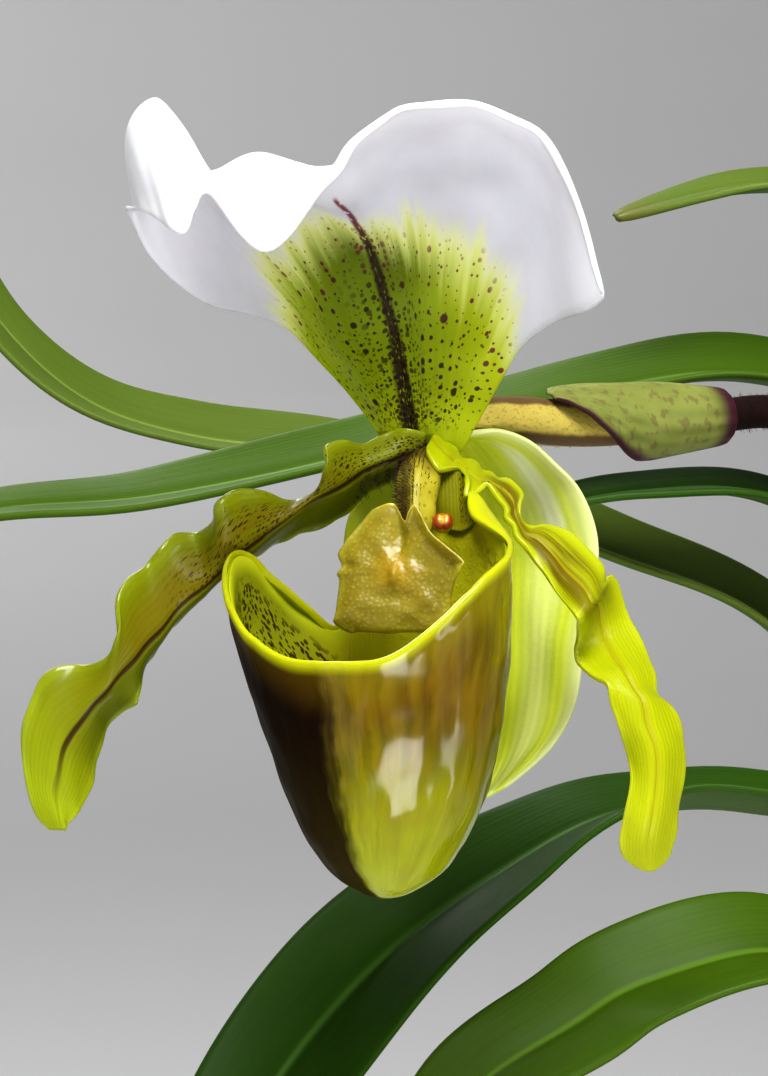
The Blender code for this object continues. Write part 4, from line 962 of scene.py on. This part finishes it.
def makeColumn():
    rows, sides, count = column["rows"], column["sides"], column["hairs"]
    line = smoothLine(column["line"], rows)
    rings = ringsAlong(line, smoothLine(column["radii"], rows), sides, ribs=5, ribHeight=0.05)
    piece = closedPiece("columnStalk", toRow(closedEnds(line, rings, column["tip"])), columnLook())
    look = antherLook()
    anthers = [makeAnther(number, place, look) for number, place in enumerate(column["anthers"])]
    # a dark hairy wedge above the shield, and short hairs along the stalk
    draw = np.random.default_rng(column["seed"])
    row = draw.integers(6, rows - 4, count)
    low = np.clip((row - 16) / 12, 0, 1)
    side = (sides * (column["wedge"] + draw.normal(0, 1, count) * (0.16 - 0.10 * low))).astype(int) % sides
    roots = toRow(rings[row, side])
    leans = roots - toRow(line)[row] + draw.normal(0, 0.3 * mm, roots.shape)
    leans = leans + np.array([0, -0.6, -0.4]) * mm
    dark = hairLook("columnHairLook", 0.5, 80.0, (0.02, 0.006, 0.005), (0.07, 0.02, 0.012))
    hairs = hairPiece("columnHairs", roots, leans, column["hairLengths"], column["hairWidth"], dark, draw)
    joinTo(piece, hairs, *anthers)
    finishPiece(piece, "column", "column")


# Ovary, bract and scape

stalkHair = {"width": 0.035, "seed": 41}
# hairs: count, lengths, how far they stray from straight out, and the row where they stop
ovary = {"radius": 3.0, "rows": 66, "sides": 60, "ribHeight": 0.07, "hairs": (260, (0.25, 0.5), 0.5, 65),
         "line": [(3.2, 5, 2.6), (7, 10, 2.9), (12.5, 17, 3), (18, 24, 2.8), (25.5, 31, 3), (33, 37, 4),
                  (41, 43, 4.5)]}
scape = {"radius": 2.4, "thicker": 0.4, "rows": 130, "sides": 28, "hairs": (2600, (0.4, 0.9), 0.9, 118),
         "line": [(41, 43, 4.5), (49.5, 49, 5.5), (62, 51, 4), (78, 50, -2), (89, 48, -14), (94, 46, -34),
                  (96, 46, -64), (97, 48, -104)],
         "foot": (0, -2.6), "gap": 0.3}
bract = {"thickness": 0.6, "rows": 58, "columns": 37, "turn": 25, "reach": 3.9, "belly": 1.6,
         "spread": (14, 152),
         "line": [(15.5, 20.6, 3.1), (25, 31, 3), (33, 37, 3.9), (41.8, 43.6, 4.6)]}


def ovaryLook():
    look = Look("ovaryTissue", specularIorLevel=0.25)
    around, along = look.surface()
    place = look.place()
    mottle = look.noise(place, 240.0, 3.0)
    ribs = look.ridges(around, 3, mottle + 0.0708)
    tissue = look.mix(mottle, (0.47, 0.36, 0.06), (0.68, 0.55, 0.13))
    tissue = look.mix(look.step(ribs, 0.55, 0.85) * 0.85, tissue, (0.07, 0.022, 0.02))
    fine = look.stretched(around * 40, along * 60, 2.0)
    tissue = look.mix(look.step(fine, 0.5, 0.75) * 0.4, tissue, (0.10, 0.04, 0.025))
    return look.finish(tissue, 0.5 + mottle * 0.2, look.bump(mottle + fine * 0.4, 0.0004, 0.5))


def scapeLook():
    look = Look("scapeTissue", specularIorLevel=0.15)
    _, along = look.surface()
    mottle = look.noise(look.place(), 300.0, 3.0)
    tissue = look.mix(mottle, (0.006, 0.002, 0.002), (0.020, 0.006, 0.005))
    tissue = look.mix(look.step(along, 0.55, 0.95) * 0.6, tissue, (0.06, 0.085, 0.016))
    return look.finish(tissue, 0.6 + mottle * 0.2, look.bump(mottle, 0.0004, 0.6))


def bractLook():
    look = Look("bractTissue", specularIorLevel=0.25, subsurfaceWeight=0.08, subsurfaceScale=0.0015)
    across, along = look.surface()
    mottle = look.stretched(across * 5, along * 6, 3.0)
    veins = look.ridges(across, 11, mottle * 2.0)
    tissue = look.mix(mottle, (0.15, 0.18, 0.030), (0.30, 0.33, 0.085))
    blots = look.step(look.stretched(across * 16, along * 20, 2.0), 0.54, 0.64)
    tissue = look.mix(blots * 0.55, tissue, (0.15, 0.09, 0.04))
    edge = look.step(look.fromMiddle(across) + (mottle - 0.5) * 0.08, 0.40, 0.47)
    foot = look.step(along, 0.86, 0.97)
    tissue = look.mix(look.larger(edge, foot), tissue, (0.055, 0.012, 0.022))
    return look.finish(tissue, 0.42 + mottle * 0.15, look.bump(veins * 0.7 + mottle * 0.4, 0.0004, 0.5))


def stalkHairs(name, line, rings, sizes, look, draw):
    count, lengths, stray, lastRow = sizes["hairs"]
    row, side = draw.integers(1, lastRow, count), draw.integers(0, sizes["sides"], count)
    leans = rings[row, side] - line[row] + draw.normal(0, stray * mm, (count, 3))
    return hairPiece(name, rings[row, side], leans, lengths, stalkHair["width"], look, draw)


def makeOvary(draw):
    rows = ovary["rows"]
    line = evenLine(ovary["line"], rows)
    swell = ovary["radius"] * (0.86 + 0.22 * np.sin(np.linspace(0.25, math.pi, rows)))
    swell *= np.sqrt(np.clip(np.linspace(0.06, 9, rows), 0, 1))
    rings = toRow(ringsAlong(line, swell, ovary["sides"], ribs=3, ribHeight=ovary["ribHeight"]))
    line = toRow(line)
    piece = closedPiece("ovaryBody", closedEnds(line, rings), ovaryLook())
    look = hairLook("stalkHairLook", 0.5, 50.0, (0.12, 0.05, 0.03), (0.22, 0.12, 0.06))
    joinTo(piece, stalkHairs("ovaryHairs", line, rings, ovary, look, draw))
    finishPiece(piece, "ovary", "ovary")


def makeScape(draw):
    points = np.array(scape["line"], float)
    points[0] += wayAlong(points)[0] * scape["gap"]
    foot = np.array([*scape["foot"], vase["height"] - mix["drop"] - mix["hole"] + scape["gap"]])
    path = np.concatenate([toRow(points), [(foot + (0, 0, mix["hole"])) * mm, foot * mm]])
    line = evenLine(path, scape["rows"])
    radii = np.linspace(scape["radius"], scape["radius"] + scape["thicker"], scape["rows"]) * mm
    rings = ringsAlong(line, radii, scape["sides"])
    piece = closedPiece("scapeStem", closedEnds(line, rings), scapeLook())
    look = hairLook("scapeHairLook", 0.5, 50.0, (0.012, 0.005, 0.005), (0.035, 0.018, 0.013))
    joinTo(piece, stalkHairs("scapeHairs", line, rings, scape, look, draw))
    finishPiece(piece, "scape", "scape")


def makeBract():
    line = evenLine(bract["line"], bract["rows"])
    least, most = bract["spread"]
    grid = []
    for part, point, way in zip(np.linspace(0, 1, bract["rows"]), line, wayAlong(line)):
        up = np.array([0, 0, 1.0]) - way * way[2]
        up /= np.linalg.norm(up)
        beside = np.cross(way, up)
        reach = bract["reach"] + bract["belly"] * math.sin(math.pi * part**0.8)
        spread = math.radians(least + most * min(1, part * 1.5) ** 0.8)
        turn = math.radians(bract["turn"]) + np.linspace(-spread, spread, bract["columns"])
        ridge = reach * (1 + 0.02 * np.cos(turn * 14))
        rise, aside = (ridge * np.cos(turn))[:, None], (ridge * np.sin(turn))[:, None]
        grid.append(point + rise * up + aside * beside)
    piece = surfacePiece("bractSheath", toRow(np.array(grid)))
    thicken(piece, bract["thickness"], bractLook())
    finishPiece(piece, "bract", "bract")


# Leaves

# widens and tip: where the foot widens, and where the tip starts and over what share it narrows
# folds: how steeply both halves rise, in degrees, at shares of the leaf's run
leafSizes = {"thickness": 1.2, "footWidth": 9, "rows": 84, "columns": 17, "groove": 0.5, "wave": 0.5,
             "widens": (0.08, 0.42), "tip": (0.62, 0.385), "folds": ((0, 0.15, 0.4, 1), (45, 42, 20, 12)),
             "gap": 0.6, "straight": 4}
fans = {"front": ((-8, -11), -14), "back": ((12, 14), 12)}
# place: across its fan; face: the ways its upper face looks, from foot to tip
# points are in the bloom's frame where seen is true, and otherwise in the vase's own
leaves = [
    {"fan": "back", "place": -14.2, "width": 23, "seen": True, "face": [(0.3, -0.2, 1), (0, -0.3, 1)],
     "points": [(90, 80, -106), (77, 90, -62), (56, 94, -28), (28, 98, -15), (-8, 104, -1), (-36, 105, 3),
                (-54, 104, 9), (-68, 102, 22), (-76, 100, 38)]},
    {"fan": "back", "place": -7.4, "width": 23, "seen": True, "face": [(0.2, -0.2, 1), (0, -0.2, 1)],
     "points": [(103, 74, -92), (98, 80, -42), (80, 78, -2), (52, 74, 11), (26, 74, 9), (-12, 76, -1),
                (-42, 74, -7), (-66, 72, -9), (-88, 68, -16)]},
    {"fan": "back", "place": -10.8, "width": 20, "seen": True, "face": [(0.3, 0, 1), (0, -0.15, 1)],
     "points": [(97, 76, -96), (89, 82, -54), (75, 84, -22), (53, 80, -7), (32, 76, -6), (12, 72, -10)]},
    {"fan": "front", "place": -5, "width": 25, "seen": True,
     "face": [(0.6, 0, 1), (0, 0, 1), (0, 0.12, 1), (0, -0.4, 1), (-0.2, -1, 0.5), (-0.4, -1, 0.2)],
     "points": [(89, 50, -120), (81, 48, -86), (70, 46, -61), (60, 45, -54), (49, 44, -52), (38, 44, -51),
                (25, 42, -53), (13, 40, -59), (-0.5, 36, -67.5), (-12.5, 31, -78), (-23, 24, -91),
                (-32, 15, -108), (-40, 4, -129)]},
    {"fan": "front", "place": -8.4, "width": 22, "seen": True,
     "face": [(0.6, 0, 1), (0, -0.3, 1), (0, -0.5, 0.9), (0, -0.7, 0.8)],
     "points": [(77, 42, -124), (66, 36, -94), (57, 30, -76), (47, 26, -70), (29, 22, -74), (20, 20, -79),
                (5.5, 16, -88), (-6, 10, -103)]},
    {"fan": "back", "place": -4, "width": 22, "seen": True, "face": [(0.3, 0, 1), (0, -0.15, 1)],
     "points": [(109, 76, -90), (113, 80, -30), (106, 79, 8), (88, 76, 30), (70, 73, 38.5), (51.5, 71, 40),
                (41, 69, 38.5), (28.5, 67, 35)]},
    {"fan": "back", "place": 4, "width": 24, "seen": False, "face": [(0, 0, 1), (0, 0, 1)],
     "points": [(22, 20, 190), (38, 27, 245), (66, 36, 278), (100, 45, 284), (128, 52, 268),
                (146, 56, 244)]},
    {"fan": "front", "place": 5, "width": 25, "seen": False, "face": [(0, 0, 1), (0, 0, 1)],
     "points": [(4, -17, 184), (18, -33, 226), (46, -56, 248), (78, -78, 242), (102, -94, 218),
                (114, -102, 192)]},
    {"fan": "front", "place": 8.4, "width": 22, "seen": False, "face": [(0, 0, 1), (0, 0, 1)],
     "points": [(10, -16, 176), (36, -16, 204), (68, -14, 216), (100, -11, 208), (124, -8, 186)]},
    {"fan": "back", "place": 7.4, "width": 24, "seen": False, "face": [(0, 0, 1), (0, 0, 1)],
     "points": [(26, 23, 180), (44, 42, 220), (62, 72, 244), (78, 104, 244), (90, 130, 224),
                (96, 146, 200)]},
]


def leafLook(name, deep, light, under=False):
    look = Look(name, coatWeight=0.0 if under else 0.08, coatRoughness=0.3, specularIorLevel=0.12)
    across, along = look.surface()
    mottle = look.stretched(across * 3, along * 12, 3.0)
    streaks = look.stretched(across * 30, along * 5, 2.0)
    veins = look.ridges(across, 26, mottle * 0.8)
    tissue = look.mix(mottle * 0.6 + streaks * 0.4, deep, light)
    tissue = look.mix(veins * 0.06, tissue, light)
    midrib = look.band(across, 0.5, 0.008, 0.05)
    pale = tuple(part * 1.8 + 0.02 for part in light)
    tissue = look.mix(midrib * (0.3 if under else 0.6), tissue, pale)
    edge = look.step(look.fromMiddle(across), 0.465, 0.495)
    tissue = look.mix(edge * 0.4, tissue, light)
    tissue = look.mix(look.step(along, 0.965, 0.995) * 0.5, tissue, (0.16, 0.13, 0.03))
    cells = look.noise(look.place(), 700.0, 2.0)
    bumps = look.bump(veins * 0.10 + streaks * 0.3 + cells * 0.3, 0.0003, 0.4)
    return look.finish(tissue, 0.46 + cells * 0.12 + mottle * 0.08, bumps)


def makeLeaf(number, leaf, looks):
    (x, y), turn = fans[leaf["fan"]]
    across = np.array(Matrix.Rotation(math.radians(turn), 3, "Z") @ Vector((leaf["place"], 0, 0)))
    foot = np.array([x, y, vase["height"] - mix["drop"] - mix["hole"] + leafSizes["gap"]]) + across
    points = np.array(leaf["points"], float)
    points = toRow(points) if leaf["seen"] else points * mm
    bend = foot + (0, 0, mix["hole"] + leafSizes["straight"])
    line = evenLine(np.concatenate([[foot * mm, bend * mm], points]), leafSizes["rows"])
    way = wayAlong(line)
    way[0] = (0, 0, 1)
    inward = -across / abs(leaf["place"])
    faces = np.array([inward, inward + (0, 0, 0.2)] + [np.array(face, float) for face in leaf["face"]])
    share = np.linspace(0, 1, leafSizes["rows"])
    stops = [0] + list(np.linspace(0.14, 1, len(faces) - 1))
    upward = np.stack([np.interp(share, stops, faces[:, axis]) for axis in range(3)], axis=1)
    sides = np.linspace(-1, 1, leafSizes["columns"])
    tipStart, tipRun = leafSizes["tip"]
    grid = []
    for spot, along, up, part in zip(line, way, upward, share):
        up = up - along * up.dot(along)
        up /= np.linalg.norm(up)
        beside = np.cross(along, up)
        wide = np.interp(part, leafSizes["widens"], (leafSizes["footWidth"], leaf["width"]))
        tip = max(0, (part - tipStart) / tipRun)
        half = wide / 2 * math.sqrt(max(0.0006, 1 - tip**2))
        fold = math.radians(np.interp(part, *leafSizes["folds"]))
        rise = half * np.sqrt(sides**2 + 0.006) * math.sin(fold)
        rise = rise - leafSizes["groove"] * hill(sides, 0, 0.09)
        wave = math.sin(part * 31 + number) * min(1, part * 3)
        rise = rise + leafSizes["wave"] * abs(sides) ** 3 * wave
        aside = half * sides * math.cos(fold)
        grid.append(spot + (aside * mm)[:, None] * beside + (rise * mm)[:, None] * up)
    piece = surfacePiece("leafBlade" + str(number), np.array(grid))
    thicken(piece, leafSizes["thickness"], *looks)
    finishPiece(piece, "leaf", "leaf_{:02d}".format(number))


def makeLeaves():
    # one leaf green in a darker, a brighter and a paler copy; the brighter and paler copies are painted
    # light, given leaf by leaf
    tones = {"leafDark": ((0.012, 0.042, 0.001), (0.034, 0.096, 0.002)),
             "leafLit": ((0.034, 0.075, 0.001), (0.070, 0.140, 0.003)),
             "leafPale": ((0.075, 0.125, 0.012), (0.13, 0.19, 0.026))}
    looks = {name: leafLook(name, *tone) for name, tone in tones.items()}
    under = leafLook("leafUnder", (0.040, 0.090, 0.010), (0.075, 0.15, 0.020), under=True)
    # the leaves that get the painted-light copies
    kinds = {1: "leafPale", 2: "leafLit", 5: "leafLit", 6: "leafPale", 9: "leafLit"}
    for number, leaf in enumerate(leaves, 1):
        makeLeaf(number, leaf, [looks[kinds.get(number, "leafDark")], under])


# Vase

vase = {"height": 150, "foot": 43, "belly": 61, "bellyHeight": 78, "neck": 48, "lip": 51, "wall": 4,
        "floor": 7, "sides": 128, "rings": 34, "firstInside": 6, "throwing": 2600}


def vaseWall(inset=0):
    # radius and height up the wall; with an inset, only what has room behind the thick foot
    corners = [(vase["foot"], 1.6), (vase["foot"] + 11.4, 30), (vase["belly"], vase["bellyHeight"]),
               (vase["neck"] + 2.4, 124), (vase["lip"] - 0.4, 146)]
    wall = [tuple(point) for point in smoothLine(corners, vase["rings"])]
    return [(radius - inset, z) for radius, z in wall[vase["firstInside"]:]] if inset else wall


def vaseLook():
    look = Look("vaseGlaze", coatWeight=0.6, coatRoughness=0.08)
    place = look.place()
    _, _, height = look.split(place)
    cloud = look.noise(place, 26.0, 4.0)
    fine = look.noise(place, 900.0, 2.0)
    speck = look.fade(look.cells(place, 420.0), 0.07, 0.13)
    there = look.step(look.noise(place, 120.0, 1.0), 0.5, 0.62)
    glaze = look.mix(cloud, (0.56, 0.54, 0.48), (0.72, 0.70, 0.64))
    rings = look.maths("SINE", height * vase["throwing"] + cloud * 3.0) * 0.5 + 0.5
    glaze = look.mix(rings * 0.10, glaze, (0.50, 0.46, 0.38))
    glaze = look.mix(speck * there * 0.7, glaze, (0.20, 0.13, 0.07))
    thin = look.step(height, 0.1474, 0.1492)
    glaze = look.mix(thin * 0.45, glaze, (0.42, 0.34, 0.24))
    bare = look.fade(height + (cloud - 0.5) * 0.002, 0.0022, 0.0040)
    glaze = look.mix(bare, glaze, look.mix(fine, (0.42, 0.31, 0.21), (0.52, 0.40, 0.28)))
    bumps = look.bump(rings * 0.5 + cloud * 0.6 + fine * 0.15, 0.0006, 0.35)
    return look.finish(glaze, 0.16 + bare * 0.5 + cloud * 0.10, bumps)


def makeVase():
    # a disc at the foot, drawn up ring by ring, over the lip and down the inside
    foot, lip, height = vase["foot"], vase["lip"], vase["height"]
    outside = [(foot - 5, 0.9), (foot - 3.6, 0.0), (foot - 1.4, 0.0)] + vaseWall()
    over = [(lip, height - 1.4), (lip - 0.4, height - 0.6), (lip - 1.2, height - 0.1), (lip - 2, height),
            (lip - 2.9, height - 0.2), (lip - vase["wall"], height - 2)]
    inside = vaseWall(vase["wall"])[::-1] + [(foot - 2, vase["floor"] + 3), (foot - 6, vase["floor"])]
    radius, level = outside[0]
    bpy.ops.object.select_all(action="DESELECT")
    bpy.ops.mesh.primitive_circle_add(vertices=vase["sides"], radius=radius * mm, fill_type="TRIFAN",
                                      location=(0, 0, level * mm))
    piece = bpy.context.object
    piece.name = "vaseBody"
    bpy.ops.object.transform_apply(location=True)
    drawUp(outside + over + inside, mm)
    bpy.ops.mesh.edge_face_add()
    bpy.ops.object.mode_set(mode="OBJECT")
    turnOut(piece)
    piece.data.materials.append(vaseLook())
    finishPiece(piece, "vase", "vase")


# Bark mix

# drop: from the vase's lip to the bark's top; hole: how deep the plants' holes go; hills: the size and the
# height of the two unevennesses of the top; the rooms are kept free of chips round the plants
mix = {"drop": 12, "hole": 16, "gap": 0.3, "floorGap": 0.4, "rings": 30, "sides": 96, "seed": 7,
       "hills": ((6.0, 1.2), (1.8, 0.5)), "sunk": 0.8, "chips": 190, "chipSize": 10, "smallest": 0.35,
       "spacing": 0.27, "rim": 5, "shapes": 6, "tilt": 0.3, "scapeRoom": 4, "fanRoom": (17, 6)}


def barkLook(name, deep, light):
    look = Look(name)
    place = look.place()
    wave = {"Vector": place, "Scale": 160.0, "Distortion": 9.0, "Detail": 3.0, "Detail Scale": 2.0}
    grain = look.node("TexWave", {"wave_type": "BANDS"}, wave)
    mottle = look.noise(place, 180.0, 4.0)
    tone = look.mix(grain * 0.6 + mottle * 0.4, deep, light)
    tone = look.mix(look.step(mottle, 0.58, 0.72) * 0.5, tone, (0.24, 0.15, 0.08))
    return look.finish(tone, 0.82 + mottle * 0.14, look.bump(grain * 0.7 + mottle, 0.0009, 0.8))


def clearOfPlants(spot, reach):
    x, y = scape["foot"]
    if math.hypot(spot.x - x, spot.y - y) < reach + mix["scapeRoom"]:
        return False
    wide, deep = mix["fanRoom"]
    for (x, y), turn in fans.values():
        local = Matrix.Rotation(math.radians(-turn), 2) @ Vector((spot.x - x, spot.y - y))
        if abs(local.x) < wide + reach and abs(local.y) < deep + reach:
            return False
    return True


def barkBody(top, edge, walls):
    floor = vase["floor"] + mix["floorGap"]
    outline = [(0.01, floor), (vase["foot"] - 6.3, floor)] + [point for point in walls if point[1] < top]
    outline += [(edge * (1 - step / mix["rings"]), top) for step in range(mix["rings"])] + [(0.01, top)]
    turn = np.linspace(0, 2 * math.pi, mix["sides"] + 1)
    radii, heights = (np.array(part)[:, None] for part in zip(*outline))
    grid = np.stack([radii * np.cos(turn), radii * np.sin(turn), heights + 0 * turn], axis=-1)
    (broad, high), (small, low) = mix["hills"]
    lift = dimples(grid, broad) * high + dimples(grid, small) * low - mix["sunk"]
    lift = lift * np.minimum(1, (edge - np.hypot(grid[..., 0], grid[..., 1])) / 2)
    grid[..., 2] += np.where(grid[..., 2] >= top - 0.1, lift, 0)
    grid[0], grid[-1] = grid[0].mean(axis=0), grid[-1].mean(axis=0)
    look = barkLook("barkFine", (0.030, 0.017, 0.011), (0.085, 0.048, 0.028))
    return closedPiece("barkMix", grid * mm, look)


def chipShape(number):
    # a broken cube of one millimetre, to be drawn out into a chip
    bpy.ops.object.select_all(action="DESELECT")
    bpy.ops.mesh.primitive_cube_add(size=mm)
    shape = bpy.context.object
    bpy.ops.object.mode_set(mode="EDIT")
    bpy.ops.mesh.subdivide(number_cuts=1, fractal=0.5, seed=number)
    bpy.ops.mesh.select_all(action="SELECT")
    bpy.ops.mesh.bevel(offset=0.05 * mm, segments=1)
    bpy.ops.object.mode_set(mode="OBJECT")
    broken = shape.data.copy()
    bpy.data.objects.remove(shape)
    return broken


def makeMix():
    top = vase["height"] - mix["drop"]
    inset = vase["wall"] + mix["gap"]
    radii, heights = zip(*vaseWall())
    edge = float(np.interp(top, heights, radii)) - inset
    piece = barkBody(top, edge, vaseWall(inset))
    looks = [barkLook("barkChip", (0.05, 0.024, 0.013), (0.17, 0.088, 0.045)),
             barkLook("barkChipPale", (0.09, 0.05, 0.028), (0.26, 0.16, 0.09))]
    draw = random.Random(mix["seed"])
    shapes = [chipShape(number) for number in range(mix["shapes"])]
    tilt = mix["tilt"]
    chips, spots = [], []
    for _ in range(mix["chips"] * 3):
        reach = (edge - mix["rim"]) * math.sqrt(draw.random())
        angle = draw.uniform(0, 2 * math.pi)
        spot = Vector((reach * math.cos(angle), reach * math.sin(angle), top + draw.uniform(-0.6, 0.5)))
        size = mix["chipSize"] * draw.uniform(mix["smallest"], 1.0)
        if len(spots) >= mix["chips"] or not clearOfPlants(spot, size / 2):
            continue
        if any((spot.xy - other.xy).length < (size + wide) * mix["spacing"] for other, wide in spots):
            continue
        spots.append((spot, size))
        chip = bpy.data.objects.new("chip" + str(len(spots)), draw.choice(shapes).copy())
        bpy.context.scene.collection.objects.link(chip)
        place = Matrix.Translation(spot * mm) @ Matrix.Rotation(draw.uniform(0, math.pi), 4, "Z")
        for axis in "XY":
            place = place @ Matrix.Rotation(draw.uniform(-tilt, tilt), 4, axis)
        stretch = (size, size * draw.uniform(0.5, 0.8), draw.uniform(2.2, 4.2), 1)
        chip.data.transform(place @ Matrix.Diagonal(stretch))
        chip.data.materials.append(draw.choice(looks))
        chips.append(chip)
    joinTo(piece, *chips)
    finishPiece(piece, "potting_mix", "potting_mix")
    pickOut(piece)
    bpy.ops.object.shade_smooth_by_angle(angle=math.radians(40))


# Floor, light and camera

# lamps: name, place, width and height, power and what it points at; a grid narrows the panels' light
studio = {"floorFlat": 3.2, "floorReach": 4.6, "wallHeight": 3.0, "sides": 96, "bendSteps": 8,
          "camera": (-0.1040, -0.4784, 0.3560), "tilt": 82, "lens": 115.63, "sensor": 36,
          "world": 0.11, "grid": 90,
          "lamps": [("keyLight", (-0.06, -0.24, 0.74), (0.30, 0.30), 3.8, (-0.1, -0.03, 0.306)),
                    ("windowRight", (0.52, -0.42, 0.46), (0.36, 0.50), 0.25, (-0.1, -0.04, 0.28)),
                    ("frontPanel", (0.01, -0.53, 0.135), (0.25, 0.21), 0.33, (-0.1, -0.05, 0.262)),
                    ("sidePanel", (0.35, -0.26, 0.150), (0.06, 0.14), 0.035, (-0.1, -0.05, 0.262)),
                    ("fillLeft", (-0.62, -0.50, 0.36), (0.50, 0.50), 0.4, (-0.1, -0.04, 0.29)),
                    ("backLight", (-0.34, 0.55, 0.72), (0.3, 0.3), 1.8, (-0.1, -0.03, 0.32)),
                    ("wallLight", (-1.6, 1.9, 2.3), (1.4, 1.4), 37.0, (-0.9, 3.4, 0.0))]}


def makeFloor():
    # a round sheet of paper whose rim bends up into a wall
    flat, reach = studio["floorFlat"], studio["floorReach"]
    rings = [(flat, 0.0)]
    for bend in np.arange(1, studio["bendSteps"] + 1) / studio["bendSteps"] * math.pi / 2:
        rings.append((flat + (reach - flat) * math.sin(bend), studio["wallHeight"] * (1 - math.cos(bend))))
    bpy.ops.object.select_all(action="DESELECT")
    bpy.ops.mesh.primitive_circle_add(vertices=studio["sides"], radius=flat, fill_type="TRIFAN")
    floor = bpy.context.object
    floor.name = "studioFloor"
    drawUp(rings)
    bpy.ops.object.mode_set(mode="OBJECT")
    look = Look("studioPaper")
    grain = look.noise(look.place(), 3.0, 2.0)
    paper = look.mix(grain, (0.76, 0.76, 0.76), (0.80, 0.80, 0.80))
    floor.data.materials.append(look.finish(paper, 0.85 + grain * 0.1))
    bpy.ops.object.shade_smooth()


def makeStudio():
    makeFloor()
    for name, place, (wide, tall), power, target in studio["lamps"]:
        bpy.ops.object.light_add(type="AREA", location=place)
        lamp = bpy.context.object
        lamp.name = name
        lamp.data.shape = "RECTANGLE"
        lamp.data.size = wide
        lamp.data.size_y = tall
        lamp.data.energy = power
        if name.endswith("Panel"):
            lamp.data.spread = math.radians(studio["grid"])
        lamp.visible_camera = False
        lamp.rotation_euler = (Vector(target) - lamp.location).to_track_quat("-Z", "Y").to_euler()
    world = bpy.data.worlds.new("studioAir")
    world.use_nodes = True
    air = world.node_tree.nodes["Background"].inputs
    air["Color"].default_value = (1, 1, 1, 1)
    air["Strength"].default_value = studio["world"]
    scene = bpy.context.scene
    scene.world = world
    bpy.ops.object.camera_add(location=studio["camera"], rotation=(math.radians(studio["tilt"]), 0, 0))
    scene.camera = bpy.context.object
    camera = scene.camera.data
    camera.sensor_fit = "VERTICAL"
    camera.sensor_height = studio["sensor"]
    camera.lens = studio["lens"]
    camera.clip_start = 0.01
    scene.view_settings.view_transform = "Standard"
    scene.view_settings.look = "Medium High Contrast"
    print("floor, lamps and camera placed")


makeDorsalSepal()
makePetals()
makeSynsepal()
makePouch()
makeStaminode()
makeColumn()
stalkDraw = np.random.default_rng(stalkHair["seed"])
makeOvary(stalkDraw)
makeScape(stalkDraw)
makeBract()
makeLeaves()
makeVase()
makeMix()
makeStudio()

print("all pieces made")
